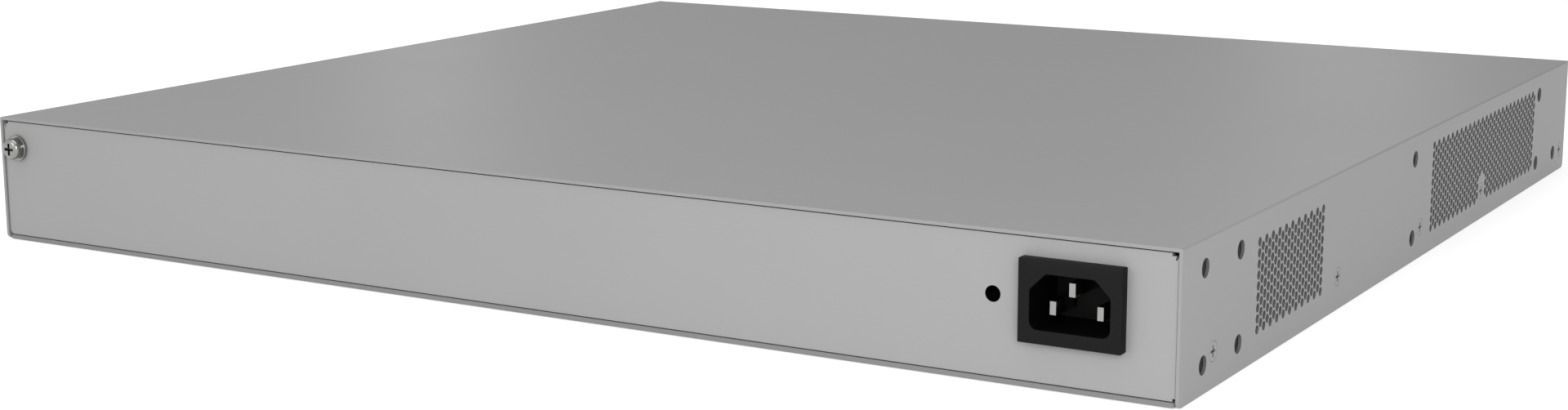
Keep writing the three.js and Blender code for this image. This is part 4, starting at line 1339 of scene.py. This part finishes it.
def add_ring_choke(node):
    """A ring core under one layer of enamelled wire."""
    low, high = box_mm(node)
    outer, inner, wire, ease = (high[0] - low[0]) / 2, 6.0, 0.6, 0.8
    place = upright(node)
    layer = 2 * wire
    near, far = inner + layer, outer - layer
    bottom, top = low[2] + layer, high[2] - layer
    section = [(near, bottom + ease), (near + ease, bottom), (far - ease, bottom), (far, bottom + ease),
               (far, top - ease), (far - ease, top), (near + ease, top), (near, top - ease)]
    core = Shape()
    turned_ring(core, section, 64, place)
    finish_piece(core.make(node + "_core"), FERRITE, [node])

    winding = Shape()
    turns, steps = 28, 16
    centre_r, centre_z = (outer + inner) / 2, (low[2] + high[2]) / 2
    half_r, half_z = (outer - inner) / 2 - wire, (high[2] - low[2]) / 2 - wire
    path = []
    for i in range(turns * steps):
        turn = 2 * math.pi * i / steps
        around = math.radians(330) * i / (turns * steps)
        radius = centre_r + half_r * rounded_wave(math.cos(turn))
        height = centre_z + half_z * rounded_wave(math.sin(turn))
        path.append(Vector(place(radius * math.cos(around), radius * math.sin(around), height)))
    add_tube(winding, path, wire, 8)
    finish_piece(winding.make(node + "_winding"), ENAMEL)


def rounded_wave(value):
    """Pushes a circle's coordinate outwards, so that a loop follows a rounded square."""
    return math.copysign(abs(value) ** 0.45, value)


def add_tube(shape, path, radius, sides):
    """A round wire along a path of points, capped at both ends."""
    rings = []
    for i, point in enumerate(path):
        along = (path[min(i + 1, len(path) - 1)] - path[max(i - 1, 0)]).normalized()
        if i == 0:
            normal = along.orthogonal().normalized()
        else:
            normal = (normal - along * normal.dot(along)).normalized()
        side = along.cross(normal)
        rings.append(shape.ring([point + normal * u + side * v for u, v in circle(0, 0, radius, sides)]))
    shape.solid(rings)


def add_transformer(node):
    """A shell core of two E halves round a taped winding."""
    low, high = box_mm(node)
    x, y = middle(node, 0), middle(node, 1)
    winding_x, winding_z = about(x, 30), (low[2] + 3, low[2] + 25)
    core = Shape()
    outline = rounded_box((low[0], high[0]), (low[2] - 0.2, high[2]), 1.0)
    sheet(core, "y", about(y, 16), outline, [straight(rounded_box(winding_x, winding_z, 0.6))])
    obj = core.make(node + "_core")
    add_bevel(obj, 0.3)
    finish_piece(obj, FERRITE, [node])

    winding = Shape()
    bulge = ((1.2, 0.2), (0.5, 0.9), (0.5, 3.0), (0.0, 3.4),
             (0.0, 18.4), (0.5, 18.8), (0.5, 21.0), (1.2, 21.7))
    insets = [(inset, winding_z[0] + height) for inset, height in bulge]
    corners = (winding_x[0] + 0.1, low[1]), (winding_x[1] - 0.1, high[1])
    winding.stack(inset_levels(*corners, 4.0, insets, "z", steps=3), "z")
    finish_piece(winding.make(node + "_winding"), TAPE, [node])


def add_boards():
    for node in ("main_board", "power_board"):
        add_circuit_board(node)
    for node in LEADED_CHIPS + BALL_CHIPS:
        add_chip(node)
    add_small_parts()
    for number in range(1, 5):
        add_board_screw(f"board_screw_{number}")
    add_heat_sink("switch_heat_sink", 0, 11, 1.4)
    for number in (1, 2):
        add_heat_sink(f"power_heat_sink_{number}", 1, 4, 1.6)
        add_capacitor(f"bulk_capacitor_{number}")
    add_ring_choke("boost_choke")
    add_transformer("transformer")


# ---------------------------------------------------------------- the CAD nodes that show as they are


def add_cad_finishes():
    """Materials for the CAD nodes, some of which show as they are."""
    finishes = {
        "green_board": BOARD,
        "chip_resin": RESIN,
        "aluminium": ALUMINIUM,
        "clear_plastic": CLEAR,
        "ferrite": FERRITE,
        "capacitor_sleeve": SLEEVE,
        "brown_wire": BROWN,
        "blue_wire": BLUE,
        "earth_wire": GREEN,
        "black_plastic": BLACK,
        "bare_steel": STEEL,
        "pin_metal": BLADE,
        "grey_paint": PAINT,
    }
    slots = {row["node"]: row["material_slot"] for row in frame["record"]["subparts"]}
    for node, obj in frame["nodes"].items():
        obj.data.materials.clear()
        obj.data.materials.append(finishes[slots[node]])


add_camera()
add_world()
add_lights()
add_floor()
add_cad_finishes()
add_cover()
add_tray()
add_rear_plate()
add_cover_screws()
add_earth_terminal()
add_inlet()
add_front_plate()
for block in PORT_BLOCKS:
    add_port_block(block)
for cage in CAGES:
    add_uplink_cage(cage)
add_button("mode_button", "mode_cap", 0.15)
add_button("reset_button", "reset_pin", 0.05)
add_light_guide()
for fan_number in (1, 2):
    add_fan(fan_number)
add_boards()

bpy.context.scene.view_settings.view_transform = "Standard"
